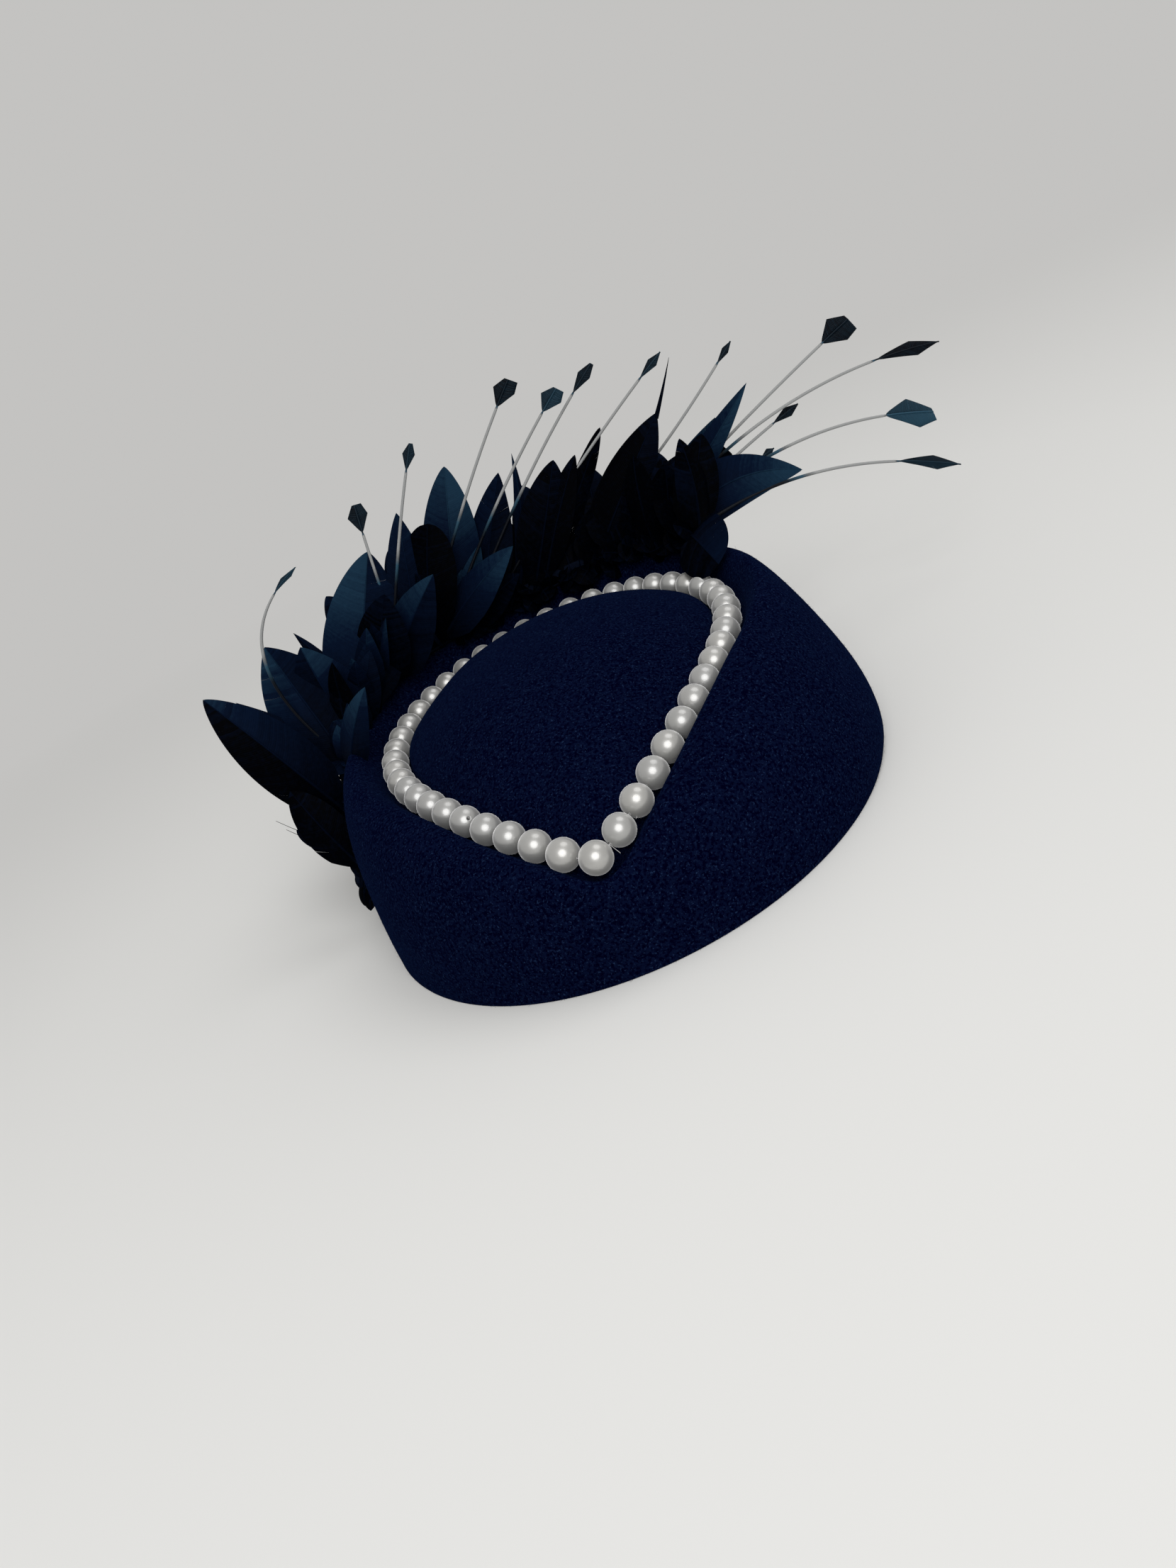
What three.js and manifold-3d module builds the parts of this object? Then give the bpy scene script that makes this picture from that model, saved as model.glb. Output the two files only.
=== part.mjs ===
// A felt percher hat: a blocked shell with a teardrop dome, a pearl string lying in the groove round
// the dome, a crescent of trimmed feathers with stripped quills, and a thin head elastic.
// Millimetres. +Z is up from the rim's plane, the point of the teardrop faces -Y.
import * as THREE from 'three';
import { mergeVertices } from 'three/addons/utils/BufferGeometryUtils.js';
import Module from 'manifold-3d';

const wasm = await Module();
wasm.setup();

// Driving dimensions of the felt shell
const FELT_WALL = 2.2;
const RIM = {
  halfWidth: 93.5, front: 101.5, back: 118, centreX: 2.5, centreY: -6.5, hubY: 2, lean: 0.07, pull: 0.5,
};
// The right wall's belly: how far it pushes the foot of the curve out, lowers it and shortens the roll
const BELLY = { out: 11.2, pull: 0.28, roll: 0.37 };
const LOOP = {
  halfWidth: 65.5, waistY: 12, front: 113.3, back: 73.5,
  legShare: 0.55, legPower: 1.85, pointRound: 4.3, seam: 0.002,
};
const LOOP_RISE = { height: 51.8, tilt: 0.055, dip: 13.8, dipReach: 95 };
const GROOVE = { floor: 6.3, flankOut: 4.8, flankDrop: 3.35, edgeOut: 5.9, edgeRise: 0.3, lipClear: 0.3 };
const SHOULDER = { out: 0.4, rise: 0.6 };
const DOME = { centreY: 15, top: 70.2, halfWidth: 58, front: 80, back: 64, power: 3.0 };
const CROWN_COLUMNS = 48;

// The rolled lip outside the pearls: share of the way from the point to the back, distance out, rise.
// The first and last rows mirror their neighbours, so both sides meet smoothly at the point and the back.
const LIP = [
  { share: -0.12, out: 7.2, rise: -1.5 },
  { share: 0.0, out: 6.2, rise: -5.2 },
  { share: 0.12, out: 7.2, rise: -1.5 },
  { share: 0.28, out: 8.0, rise: 3.0 },
  { share: 0.5, out: 14.0, rise: 7.0 },
  { share: 0.75, out: 15.0, rise: 10.0 },
  { share: 1.0, out: 13.0, rise: 9.0 },
  { share: 1.25, out: 15.0, rise: 10.0 },
];
const LIP_ROLL = 0.72;
const WALL_ROWS = [0.8, 0.56, 0.35, 0.16];
const DOME_ROWS = [0.93, 0.82, 0.66, 0.46, 0.24];

// Pearls
const PEARL = { count: 46, diameter: 10, sides: 10, rings: [22, 66, 114, 158], clear: 0.5 };

// The feather band: place on the pearl line and how far down the wall, from its right end to its left
const BAND = [
  { share: 0.0, at: 0.335, down: 0.0 },
  { share: 0.36, at: 0.5, down: 0.0 },
  { share: 0.57, at: 0.605, down: 0.02 },
  { share: 0.72, at: 0.665, down: 0.1 },
  { share: 0.84, at: 0.705, down: 0.28 },
  { share: 0.93, at: 0.735, down: 0.52 },
  { share: 1.0, at: 0.755, down: 0.74 },
];
const BAND_STEP = { along: 0.004, down: 0.02 };
const STRIP = { width: 7, thick: 1.4, clear: 0.35, stations: 22 };

// Leaf feathers: share of the band where each one starts, its tip, its width, and its roll in degrees
const FEATHERS = [
  { share: 0.1, x: 118, y: 76, z: 69, width: 22, roll: 0 },
  { share: 0.23, x: 97, y: 94, z: 84, width: 30, roll: -10 },
  { share: 0.04, x: 70.5, y: 31, z: 60.5, width: 24, roll: 35 },
  { share: 0.14, x: 112, y: 89, z: 107, width: 12, roll: 15 },
  { share: 0.17, x: 96.5, y: 95, z: 99.5, width: 14, roll: 30 },
  { share: 0.25, x: 76, y: 99, z: 111, width: 22, roll: 0 },
  { share: 0.36, x: 53, y: 106, z: 115, width: 10, roll: 20 },
  { share: 0.35, x: 39, y: 103, z: 110, width: 13, roll: -10 },
  { share: 0.37, x: 30, y: 103, z: 112, width: 22, roll: 10 },
  { share: 0.4, x: 15, y: 113, z: 121, width: 7, roll: 40 },
  { share: 0.46, x: 7, y: 106, z: 117, width: 20, roll: -10 },
  { share: 0.55, x: 1, y: 82, z: 91, width: 20, roll: -25 },
  { share: 0.49, x: -2, y: 86, z: 79, width: 18, roll: -30 },
  { share: 0.51, x: -12, y: 105, z: 129, width: 24, roll: 5 },
  { share: 0.52, x: -12, y: 94, z: 96, width: 11, roll: 25 },
  { share: 0.56, x: -27, y: 90, z: 113, width: 24, roll: -10 },
  { share: 0.59, x: -37, y: 94, z: 122, width: 18, roll: 15 },
  { share: 0.67, x: -30, y: 62, z: 98, width: 24, roll: -20 },
  { share: 0.8, x: -55.3, y: 93.9, z: 113.3, width: 32, roll: 10 },
  { share: 0.69, x: -50, y: 58, z: 100, width: 24, roll: -15 },
  { share: 0.75, x: -92, y: 66, z: 101, width: 8, roll: 30 },
  { share: 0.86, x: -98, y: 45, z: 104, width: 30, roll: 10 },
  { share: 0.8, x: -84, y: 39, z: 99, width: 26, roll: -10 },
  { share: 0.88, x: -62, y: 10, z: 81, width: 16, roll: -30 },
  { share: 0.93, x: -113, y: 4, z: 103, width: 23, roll: 15 },
  { share: 0.85, x: -115, y: 33, z: 92, width: 7, roll: 0 },
  { share: 0.99, x: -101, y: -4, z: 62, width: 16, roll: 0 },
  { share: 0.96, x: -112, y: 8, z: 44, width: 12, roll: 20 },
];
// A plain row of leaves behind them that leans back: tips stand out from the felt and arch up in the middle
const BACK_ROW = {
  count: 7, first: 0.12, last: 0.76, out: 34, rise: 24, arch: 18, width: 20, rollFrom: -20, rollTo: 40,
};
// A leaf's half width as a share of its full half width, at shares of its length; the last is the tip
const LEAF = [
  { share: 0.02, half: 0.2 },
  { share: 0.4, half: 0.98 },
  { share: 0.74, half: 0.8 },
];
const LEAF_THICK = 1.1;
const FEATHER_FACE = new THREE.Vector3(0.1, -0.92, 0.38);

// Stripped quills: share of the band, tip, bow of the stem upwards and its sway to the right, and the trimmed
// vane left at the tip
const QUILLS = [
  { share: 0.85, x: -67.4, y: 30, z: 126.6, bow: 11, sway: -18.3, vaneLength: 13, vaneWidth: 4 },
  { share: 0.62, x: -49.8, y: 88.7, z: 132.5, bow: 2, sway: 0, vaneLength: 13, vaneWidth: 8.5 },
  { share: 0.66, x: -16.7, y: 79, z: 144.2, bow: 3, sway: 0, vaneLength: 12, vaneWidth: 5 },
  { share: 0.575, x: 27.6, y: 94, z: 148.2, bow: 4, sway: 0, vaneLength: 13, vaneWidth: 9 },
  { share: 0.535, x: 43.3, y: 98.5, z: 136.8, bow: 4, sway: 0, vaneLength: 12, vaneWidth: 9 },
  { share: 0.495, x: 60, y: 104, z: 139, bow: 4, sway: 0, vaneLength: 15, vaneWidth: 7 },
  { share: 0.45, x: 87.2, y: 106, z: 130.8, bow: 3, sway: 0, vaneLength: 14, vaneWidth: 5 },
  { share: 0.35, x: 115.9, y: 115, z: 121.5, bow: -5, sway: 0, vaneLength: 10, vaneWidth: 4 },
  { share: 0.19, x: 161, y: 107, z: 109.5, bow: 2, sway: 0, vaneLength: 15, vaneWidth: 12 },
  { share: 0.165, x: 194, y: 113, z: 84.5, bow: 14, sway: 0, vaneLength: 30, vaneWidth: 7 },
  { share: 0.14, x: 130.2, y: 103, z: 88.6, bow: 2, sway: 0, vaneLength: 14, vaneWidth: 6 },
  { share: 0.1, x: 177.5, y: 93.5, z: 63.5, bow: 13, sway: 0, vaneLength: 21, vaneWidth: 13 },
  { share: 0.065, x: 178, y: 82, z: 41.7, bow: 12, sway: 0, vaneLength: 26, vaneWidth: 6 },
  { share: 0.12, x: 114.7, y: 102, z: 76.7, bow: 1, sway: 0, vaneLength: 7, vaneWidth: 3.5 },
];
const QUILL = {
  stem: 1.1, stations: [0.01, 0.33, 0.66, 1], vaneBelly: 0.55, vaneThick: 1.0, clear: 0.35, tipClear: 1.4,
};
const ROOM = { below: 1, sides: 8 };

// Head elastic: a thin round cord that leaves the right inner wall, lies on the resting surface in an oval
// round the inside of the back and climbs the left inner wall
const ELASTIC = {
  diameter: 2, sides: 8, steps: 58, halfWidth: 80, back: 90, centreY: 9.2, floor: 1.1, arcs: 18,
};
// One end of the elastic, from the felt down to the surface: distance from the hat's middle, how much further
// out the right end is because of the wall's belly, y, height
const ELASTIC_END = [
  { out: 89.4, belly: 2.6, y: -5, z: 9 },
  { out: 86, belly: 1.8, y: -4.6, z: 8.6 },
  { out: 82.9, belly: 0.9, y: -2.6, z: 6.4 },
  { out: 81.1, belly: 0.3, y: 1.5, z: 3.4 },
  { out: 80.3, belly: 0, y: 7, z: 1.5 },
];

const COLOUR = { felt: 0x0d1a38, pearl: 0xdfe0dd, feather: 0x0a1428, quill: 0x16263f, elastic: 0x0b0b0d };
const WELD = 1e-4;

const mix = (a, b, t) => a + (b - a) * t;

// Value of one column of a table at a share of the way: a smooth cubic through its rows
function fromTable(table, share, column) {
  const last = table.length - 1;
  let i = 0;
  while (i < last - 1 && share > table[i + 1].share) i += 1;
  const slope = (row) => {
    const before = table[Math.max(row - 1, 0)];
    const after = table[Math.min(row + 1, last)];
    return (after[column] - before[column]) / (after.share - before.share);
  };
  const span = table[i + 1].share - table[i].share;
  const t = THREE.MathUtils.clamp((share - table[i].share) / span, 0, 1);
  const s = 1 - t;
  const level = table[i][column] * s * s * (1 + 2 * t) + table[i + 1][column] * t * t * (1 + 2 * s);
  return level + span * t * s * (slope(i) * s - slope(i + 1) * t);
}

// Line through the pearls' centres: two parabola legs from the point, closed by half an ellipse
class PearlLoop extends THREE.Curve {
  getPoint(t, target = new THREE.Vector3()) {
    const side = t < 0.5 ? 1 : -1;
    const share = t < 0.5 ? 2 * t : 2 - 2 * t;
    let x;
    let y;
    if (share < LOOP.legShare) {
      const back = 1 - share / LOOP.legShare;
      x = LOOP.halfWidth * (1 - back ** LOOP.legPower);
      y = LOOP.waistY - LOOP.front + Math.hypot(LOOP.front * (1 - back), LOOP.pointRound);
    } else {
      const angle = ((share - LOOP.legShare) / (1 - LOOP.legShare)) * (Math.PI / 2);
      x = LOOP.halfWidth * Math.cos(angle);
      y = LOOP.waistY + LOOP.back * Math.sin(angle);
    }
    const fromPoint = Math.hypot(x, y - LOOP.waistY + LOOP.front);
    const near = Math.max(0, 1 - fromPoint / LOOP_RISE.dipReach);
    const z = LOOP_RISE.height + LOOP_RISE.tilt * y - LOOP_RISE.dip * near * near;
    return target.set(side * x, y, z);
  }
}
const pearlLoop = new PearlLoop();
pearlLoop.arcLengthDivisions = 1200;

// Closed body from rings of equal length; a ring of one point is a pole
function ringBody(rings, closed) {
  const points = [];
  const starts = rings.map((ring) => {
    const start = points.length;
    points.push(...ring);
    return start;
  });
  const faces = [];
  const count = closed ? rings.length : rings.length - 1;
  for (let r = 0; r < count; r += 1) {
    const low = rings[r];
    const next = (r + 1) % rings.length;
    const high = rings[next];
    const sides = Math.max(low.length, high.length);
    for (let i = 0; i < sides; i += 1) {
      const j = (i + 1) % sides;
      const a = starts[r] + (low.length > 1 ? i : 0);
      const b = starts[r] + (low.length > 1 ? j : 0);
      const c = starts[next] + (high.length > 1 ? j : 0);
      const d = starts[next] + (high.length > 1 ? i : 0);
      if (low.length > 1) faces.push(a, b, c);
      if (high.length > 1) faces.push(a, c, d);
    }
  }
  const geometry = new THREE.BufferGeometry();
  const positions = points.flatMap((p) => [p.x, p.y, p.z]);
  geometry.setAttribute('position', new THREE.Float32BufferAttribute(positions, 3));
  geometry.setIndex(faces);
  return geometry;
}

// One column of the shell: where it stands on the pearl line, which way its section runs, and its lip
function crownColumn(at) {
  const point = pearlLoop.getPointAt(at);
  const tangent = pearlLoop.getTangentAt(THREE.MathUtils.clamp(at, LOOP.seam, 1 - LOOP.seam));
  const normal = new THREE.Vector3(tangent.y, -tangent.x, 0).normalize();
  const turn = Math.atan2(point.x, RIM.hubY - point.y);
  const depth = Math.cos(turn) > 0 ? RIM.front : RIM.back;
  const rim = new THREE.Vector3(
    RIM.centreX + RIM.halfWidth * Math.sin(turn),
    RIM.centreY - depth * Math.cos(turn),
    0,
  );
  const out = new THREE.Vector3(rim.x - point.x, rim.y - point.y, 0);
  const width = out.length();
  out.normalize();
  const share = at < 0.5 ? 2 * at : 2 - 2 * at;
  const stretch = 1 / out.dot(normal);
  const lipOut = fromTable(LIP, share, 'out') * stretch;
  const lipZ = point.z + fromTable(LIP, share, 'rise');
  return { point, out, width, turn, rim, stretch, lipOut, lipZ };
}

// Place in a column's section: distance out from the pearl line and height over the rim
function inSection(column, out, z) {
  return new THREE.Vector3(
    column.point.x + column.out.x * out,
    column.point.y + column.out.y * out,
    z,
  );
}

// Side wall below the lip, from 0 at the lip to 1 at the rim: a cubic curve that rolls over, then falls to
// the rim, with a belly that is fullest on the right and gone at the front and the back
function wallPoint(c, t) {
  const s = 1 - t;
  const belly = Math.max(0, Math.sin(c.turn)) ** 2;
  const roll = c.lipOut + (LIP_ROLL - BELLY.roll * belly) * (c.width - c.lipOut);
  const footZ = (RIM.pull - BELLY.pull * belly) * c.lipZ;
  const foot = c.width - RIM.lean * footZ + BELLY.out * belly;
  const out = s ** 3 * c.lipOut + 3 * s * s * t * roll + 3 * s * t * t * foot + t ** 3 * c.width;
  const z = s ** 3 * c.lipZ + 3 * s * s * t * c.lipZ + 3 * s * t * t * footZ;
  return inSection(c, out, z);
}

// Outer side of the shell in rings from the rim up over the lip, through the groove and over the dome
function crownOuterRings() {
  const columns = Array.from({ length: CROWN_COLUMNS }, (_, i) => crownColumn(i / CROWN_COLUMNS));
  const rings = [columns.map((c) => c.rim.clone())];
  for (const t of WALL_ROWS) rings.push(columns.map((c) => wallPoint(c, t)));
  rings.push(columns.map((c) => inSection(c, c.lipOut, c.lipZ)));
  rings.push(columns.map((c) => {
    const flank = c.point.z - GROOVE.flankDrop;
    const out = mix(GROOVE.flankOut * c.stretch, c.lipOut, SHOULDER.out);
    return inSection(c, out, mix(flank, c.lipZ, SHOULDER.rise));
  }));
  rings.push(columns.map((c) => {
    const flank = Math.min(c.point.z - GROOVE.flankDrop, c.lipZ - GROOVE.lipClear);
    return inSection(c, GROOVE.flankOut * c.stretch, flank);
  }));
  rings.push(columns.map((c) => inSection(c, 0, c.point.z - GROOVE.floor)));
  rings.push(columns.map((c) => inSection(c, -GROOVE.flankOut * c.stretch, c.point.z - GROOVE.flankDrop)));
  const edge = columns.map((c) => inSection(c, -GROOVE.edgeOut * c.stretch, c.point.z + GROOVE.edgeRise));
  rings.push(edge);
  const centre = new THREE.Vector3(0, DOME.centreY, DOME.top);
  for (const rho of DOME_ROWS) {
    rings.push(columns.map((c, i) => {
      const depth = Math.cos(c.turn) > 0 ? DOME.front : DOME.back;
      const keep = rho * rho;
      const x = mix(DOME.halfWidth * Math.sin(c.turn), edge[i].x - centre.x, keep);
      const y = mix(-depth * Math.cos(c.turn), edge[i].y - centre.y, keep);
      const z = mix(DOME.top, edge[i].z, rho ** DOME.power);
      return new THREE.Vector3(centre.x + rho * x, centre.y + rho * y, z);
    }));
  }
  rings.push([centre]);
  return rings;
}

// Surface normals of a stack of rings by central differences
function ringNormals(rings) {
  return rings.map((ring, r) => ring.map((p, i) => {
    if (ring.length === 1) return new THREE.Vector3(0, 0, 1);
    const n = ring.length;
    const around = ring[(i + 1) % n].clone().sub(ring[(i + n - 1) % n]);
    const above = rings[Math.min(r + 1, rings.length - 1)];
    const below = rings[Math.max(r - 1, 0)];
    const up = (above[i] ?? above[0]).clone().sub(below[i] ?? below[0]);
    return around.cross(up).normalize();
  }));
}

function crownGeometry() {
  const outer = crownOuterRings();
  const normals = ringNormals(outer);
  const inner = outer.map((ring, r) => ring.map((p, i) => {
    const n = normals[r][i].clone();
    if (r === 0) n.setZ(0).normalize();
    return p.clone().addScaledVector(n, -FELT_WALL);
  }));
  return ringBody([...outer, ...inner.reverse()], true);
}

// The whole string: each pearl is four rings round its own axis, and short necks join it to the next
function pearlGeometry() {
  const radius = PEARL.diameter / 2;
  const up = new THREE.Vector3(0, 0, 1);
  const rings = [];
  for (let i = 0; i < PEARL.count; i += 1) {
    const at = i / PEARL.count;
    const centre = pearlLoop.getPointAt(at);
    const before = pearlLoop.getPointAt((at + 1 - 1 / PEARL.count) % 1);
    const after = pearlLoop.getPointAt((at + 1 / PEARL.count) % 1);
    const axis = after.sub(before).normalize();
    const across = new THREE.Vector3().crossVectors(up, axis).normalize();
    const lift = new THREE.Vector3().crossVectors(axis, across);
    for (const degrees of PEARL.rings) {
      const angle = THREE.MathUtils.degToRad(degrees);
      const ring = [];
      for (let k = 0; k < PEARL.sides; k += 1) {
        const turn = (2 * Math.PI * k) / PEARL.sides;
        const p = centre.clone().addScaledVector(axis, -radius * Math.cos(angle));
        p.addScaledVector(across, radius * Math.sin(angle) * Math.cos(turn));
        p.addScaledVector(lift, radius * Math.sin(angle) * Math.sin(turn));
        ring.push(p);
      }
      rings.push(ring);
    }
  }
  return ringBody(rings, true);
}

// Where the band sits on the felt at a share of its length, with the way out and the way along it
function bandFrame(share) {
  const column = (s) => crownColumn(fromTable(BAND, s, 'at'));
  const place = (s, sink) => wallPoint(column(s), fromTable(BAND, s, 'down') + sink);
  const step = BAND_STEP.along;
  const seat = place(share, 0);
  const along = place(Math.min(share + step, 1), 0).sub(place(Math.max(share - step, 0), 0)).normalize();
  const downhill = place(share, BAND_STEP.down).sub(seat).normalize();
  const normal = new THREE.Vector3().crossVectors(downhill, along).normalize();
  return { seat, along, normal, out: column(share).out };
}

// Solid of a closed geometry for joining and cutting
function toSolid(geometry) {
  const bare = new THREE.BufferGeometry();
  bare.setAttribute('position', geometry.getAttribute('position'));
  if (geometry.index) bare.setIndex(geometry.index);
  const merged = mergeVertices(bare, WELD);
  const vertProperties = new Float32Array(merged.getAttribute('position').array);
  const triVerts = new Uint32Array(merged.index.array);
  return new wasm.Manifold(new wasm.Mesh({ numProp: 3, vertProperties, triVerts }));
}

// Geometry of the largest body of a solid
function fromSolid(solid) {
  const bodies = solid.decompose();
  bodies.sort((a, b) => b.volume() - a.volume());
  const mesh = bodies[0].getMesh();
  const geometry = new THREE.BufferGeometry();
  geometry.setAttribute('position', new THREE.Float32BufferAttribute(mesh.vertProperties, 3));
  geometry.setIndex(Array.from(mesh.triVerts));
  return geometry;
}

// Lens-shaped ring of four corners round a point: half width along one way, half thickness along another
function lensRing(centre, across, face, half, thick) {
  return [
    centre.clone().addScaledVector(across, half),
    centre.clone().addScaledVector(face, -thick / 2),
    centre.clone().addScaledVector(across, -half),
    centre.clone().addScaledVector(face, thick / 2),
  ];
}

// The band itself: a flat strip that follows the felt, a small clearance above it
function stripGeometry() {
  const rings = [];
  const middle = STRIP.clear + STRIP.thick / 2;
  for (let i = 0; i <= STRIP.stations; i += 1) {
    const { seat, along, normal } = bandFrame(i / STRIP.stations);
    const across = new THREE.Vector3().crossVectors(normal, along).normalize();
    const centre = seat.clone().addScaledVector(normal, middle);
    const corner = (side, lift) => centre.clone()
      .addScaledVector(across, (side * STRIP.width) / 2)
      .addScaledVector(normal, (lift * STRIP.thick) / 2);
    if (i === 0) rings.push([centre]);
    rings.push([corner(1, -1), corner(1, 1), corner(-1, 1), corner(-1, -1)]);
    if (i === STRIP.stations) rings.push([centre]);
  }
  return ringBody(rings, false);
}

// Start of a feather or quill in the band, a height above the felt
function bandStart(share, height) {
  const { seat, normal } = bandFrame(share);
  return seat.clone().addScaledVector(normal, height);
}

// One leaf: lens sections along a slightly bowed axis from the band to the tip
function leafGeometry(row) {
  const base = bandStart(row.share, STRIP.clear + STRIP.thick / 2);
  const tip = new THREE.Vector3(row.x, row.y, row.z);
  const axis = tip.clone().sub(base);
  const roll = THREE.MathUtils.degToRad(row.roll);
  const face = FEATHER_FACE.clone().applyAxisAngle(axis.clone().normalize(), roll);
  const across = new THREE.Vector3().crossVectors(axis, face).normalize();
  face.crossVectors(across, axis).normalize();
  const rings = [[base]];
  for (const { share, half } of LEAF) {
    const centre = base.clone().lerp(tip, share);
    rings.push(lensRing(centre, across, face, (half * row.width) / 2, LEAF_THICK));
  }
  rings.push([tip]);
  return ringBody(rings, false);
}

// Rows of the leaves behind, spread evenly along the band
function backRow() {
  return Array.from({ length: BACK_ROW.count }, (_, i) => {
    const share = mix(BACK_ROW.first, BACK_ROW.last, i / (BACK_ROW.count - 1));
    const { seat, out } = bandFrame(share);
    const tip = seat.clone().addScaledVector(out, BACK_ROW.out);
    const z = tip.z + BACK_ROW.rise + BACK_ROW.arch * Math.sin(Math.PI * share);
    const roll = mix(BACK_ROW.rollFrom, BACK_ROW.rollTo, share);
    return { share, x: tip.x, y: tip.y, z, width: BACK_ROW.width, roll };
  });
}

// One quill: a thin stem with four corners that widens into the diamond vane; grow makes room round it
function quillGeometry(row, grow) {
  const height = STRIP.clear + STRIP.thick + QUILL.clear;
  const start = bandStart(row.share, height);
  const tip = new THREE.Vector3(row.x, row.y, row.z);
  const middle = start.clone().lerp(tip, 0.5);
  middle.z += 2 * row.bow;
  middle.x += 2 * row.sway;
  const stem = new THREE.QuadraticBezierCurve3(start, middle, tip);
  const length = stem.getLength();
  const bare = 1 - row.vaneLength / length;
  const heading = tip.clone().sub(start);
  const across = new THREE.Vector3().crossVectors(heading, FEATHER_FACE).normalize();
  const rings = [[bandStart(row.share, height - grow)]];
  const section = (share, half, thick) => {
    const along = stem.getTangent(share);
    const face = new THREE.Vector3().crossVectors(across, along).normalize();
    rings.push(lensRing(stem.getPoint(share), across, face, half + grow, thick + 2 * grow));
  };
  for (const share of QUILL.stations) section(share * bare, QUILL.stem / 2, QUILL.stem);
  section(mix(bare, 1, QUILL.vaneBelly), row.vaneWidth / 2, QUILL.vaneThick);
  rings.push([tip.clone().addScaledVector(heading.normalize(), grow > 0 ? QUILL.tipClear : 0)]);
  return ringBody(rings, false);
}

// Room that the feathers leave: the shell filled in and grown, and a tube round the pearls
function feltRoom() {
  const outer = crownOuterRings();
  const normals = ringNormals(outer);
  const grown = outer.map((ring, r) => ring.map((p, i) => {
    const n = normals[r][i].clone();
    if (r === 0) n.setZ(0).normalize();
    return p.clone().addScaledVector(n, QUILL.clear);
  }));
  const foot = grown[0].map((p) => p.clone().setZ(-ROOM.below));
  return ringBody([[new THREE.Vector3(0, 0, -ROOM.below)], foot, ...grown], false);
}

function pearlRoom() {
  const radius = PEARL.diameter / 2 + PEARL.clear;
  const rings = Array.from({ length: CROWN_COLUMNS }, (_, i) => {
    const { point, out } = crownColumn(i / CROWN_COLUMNS);
    return Array.from({ length: ROOM.sides }, (_unused, k) => {
      const turn = (2 * Math.PI * k) / ROOM.sides;
      const p = point.clone().addScaledVector(out, -radius * Math.cos(turn));
      return p.setZ(point.z + radius * Math.sin(turn));
    });
  });
  return ringBody(rings, true);
}

function featherGeometry() {
  let solid = toSolid(stripGeometry());
  for (const row of [...FEATHERS, ...backRow()]) solid = solid.add(toSolid(leafGeometry(row)));
  solid = solid.subtract(toSolid(feltRoom())).subtract(toSolid(pearlRoom()));
  for (const row of QUILLS) solid = solid.subtract(toSolid(quillGeometry(row, QUILL.clear)));
  return fromSolid(solid);
}

// Route of the elastic: one end, the oval on the surface, and the mirrored end
function elasticRoute() {
  const end = (side) => ELASTIC_END.map((row) => {
    const out = side > 0 ? row.out + row.belly : -row.out;
    return new THREE.Vector3(RIM.centreX + out, row.y, row.z);
  });
  const oval = [];
  for (let i = 1; i < ELASTIC.arcs; i += 1) {
    const turn = (Math.PI * i) / ELASTIC.arcs;
    const x = RIM.centreX + ELASTIC.halfWidth * Math.cos(turn);
    oval.push(new THREE.Vector3(x, ELASTIC.centreY + ELASTIC.back * Math.sin(turn), ELASTIC.floor));
  }
  return new THREE.CatmullRomCurve3([...end(1), ...oval, ...end(-1).reverse()]);
}

function elasticGeometry() {
  const route = elasticRoute();
  const section = new THREE.Shape();
  for (let k = 0; k < ELASTIC.sides; k += 1) {
    const turn = (2 * Math.PI * k) / ELASTIC.sides;
    const x = (ELASTIC.diameter / 2) * Math.cos(turn);
    const y = (ELASTIC.diameter / 2) * Math.sin(turn);
    if (k === 0) section.moveTo(x, y);
    else section.lineTo(x, y);
  }
  section.closePath();
  const sweep = { steps: ELASTIC.steps, extrudePath: route, bevelEnabled: false };
  return new THREE.ExtrudeGeometry(section, sweep);
}

// Material from a colour, a roughness and a metalness
function finish(color, roughness, metalness) {
  return new THREE.MeshStandardMaterial({ color, roughness, metalness });
}

const hat = new THREE.Group();
function addPiece(name, geometry, material) {
  const mesh = new THREE.Mesh(geometry, material);
  mesh.name = name;
  hat.add(mesh);
  return mesh;
}

addPiece('felt_crown', crownGeometry(), finish(COLOUR.felt, 0.95, 0));
addPiece('pearl_string', pearlGeometry(), finish(COLOUR.pearl, 0.25, 0));
addPiece('feather_mount', featherGeometry(), finish(COLOUR.feather, 0.7, 0));
QUILLS.forEach((row, i) => {
  const name = `quill_${String(i + 1).padStart(2, '0')}`;
  addPiece(name, quillGeometry(row, 0), finish(COLOUR.quill, 0.6, 0));
});
addPiece('head_elastic', elasticGeometry(), finish(COLOUR.elastic, 0.8, 0));

// The rim stands on the floor, and the middle of the whole hat's box is over the origin
const box = new THREE.Box3().setFromObject(hat);
hat.position.set(-(box.min.x + box.max.x) / 2, -(box.min.y + box.max.y) / 2, -box.min.z);

export default hat;
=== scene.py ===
"""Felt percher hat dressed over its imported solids: felt shell, pearl string, feathers, quills, elastic."""
from types import SimpleNamespace as Sizes

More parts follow.
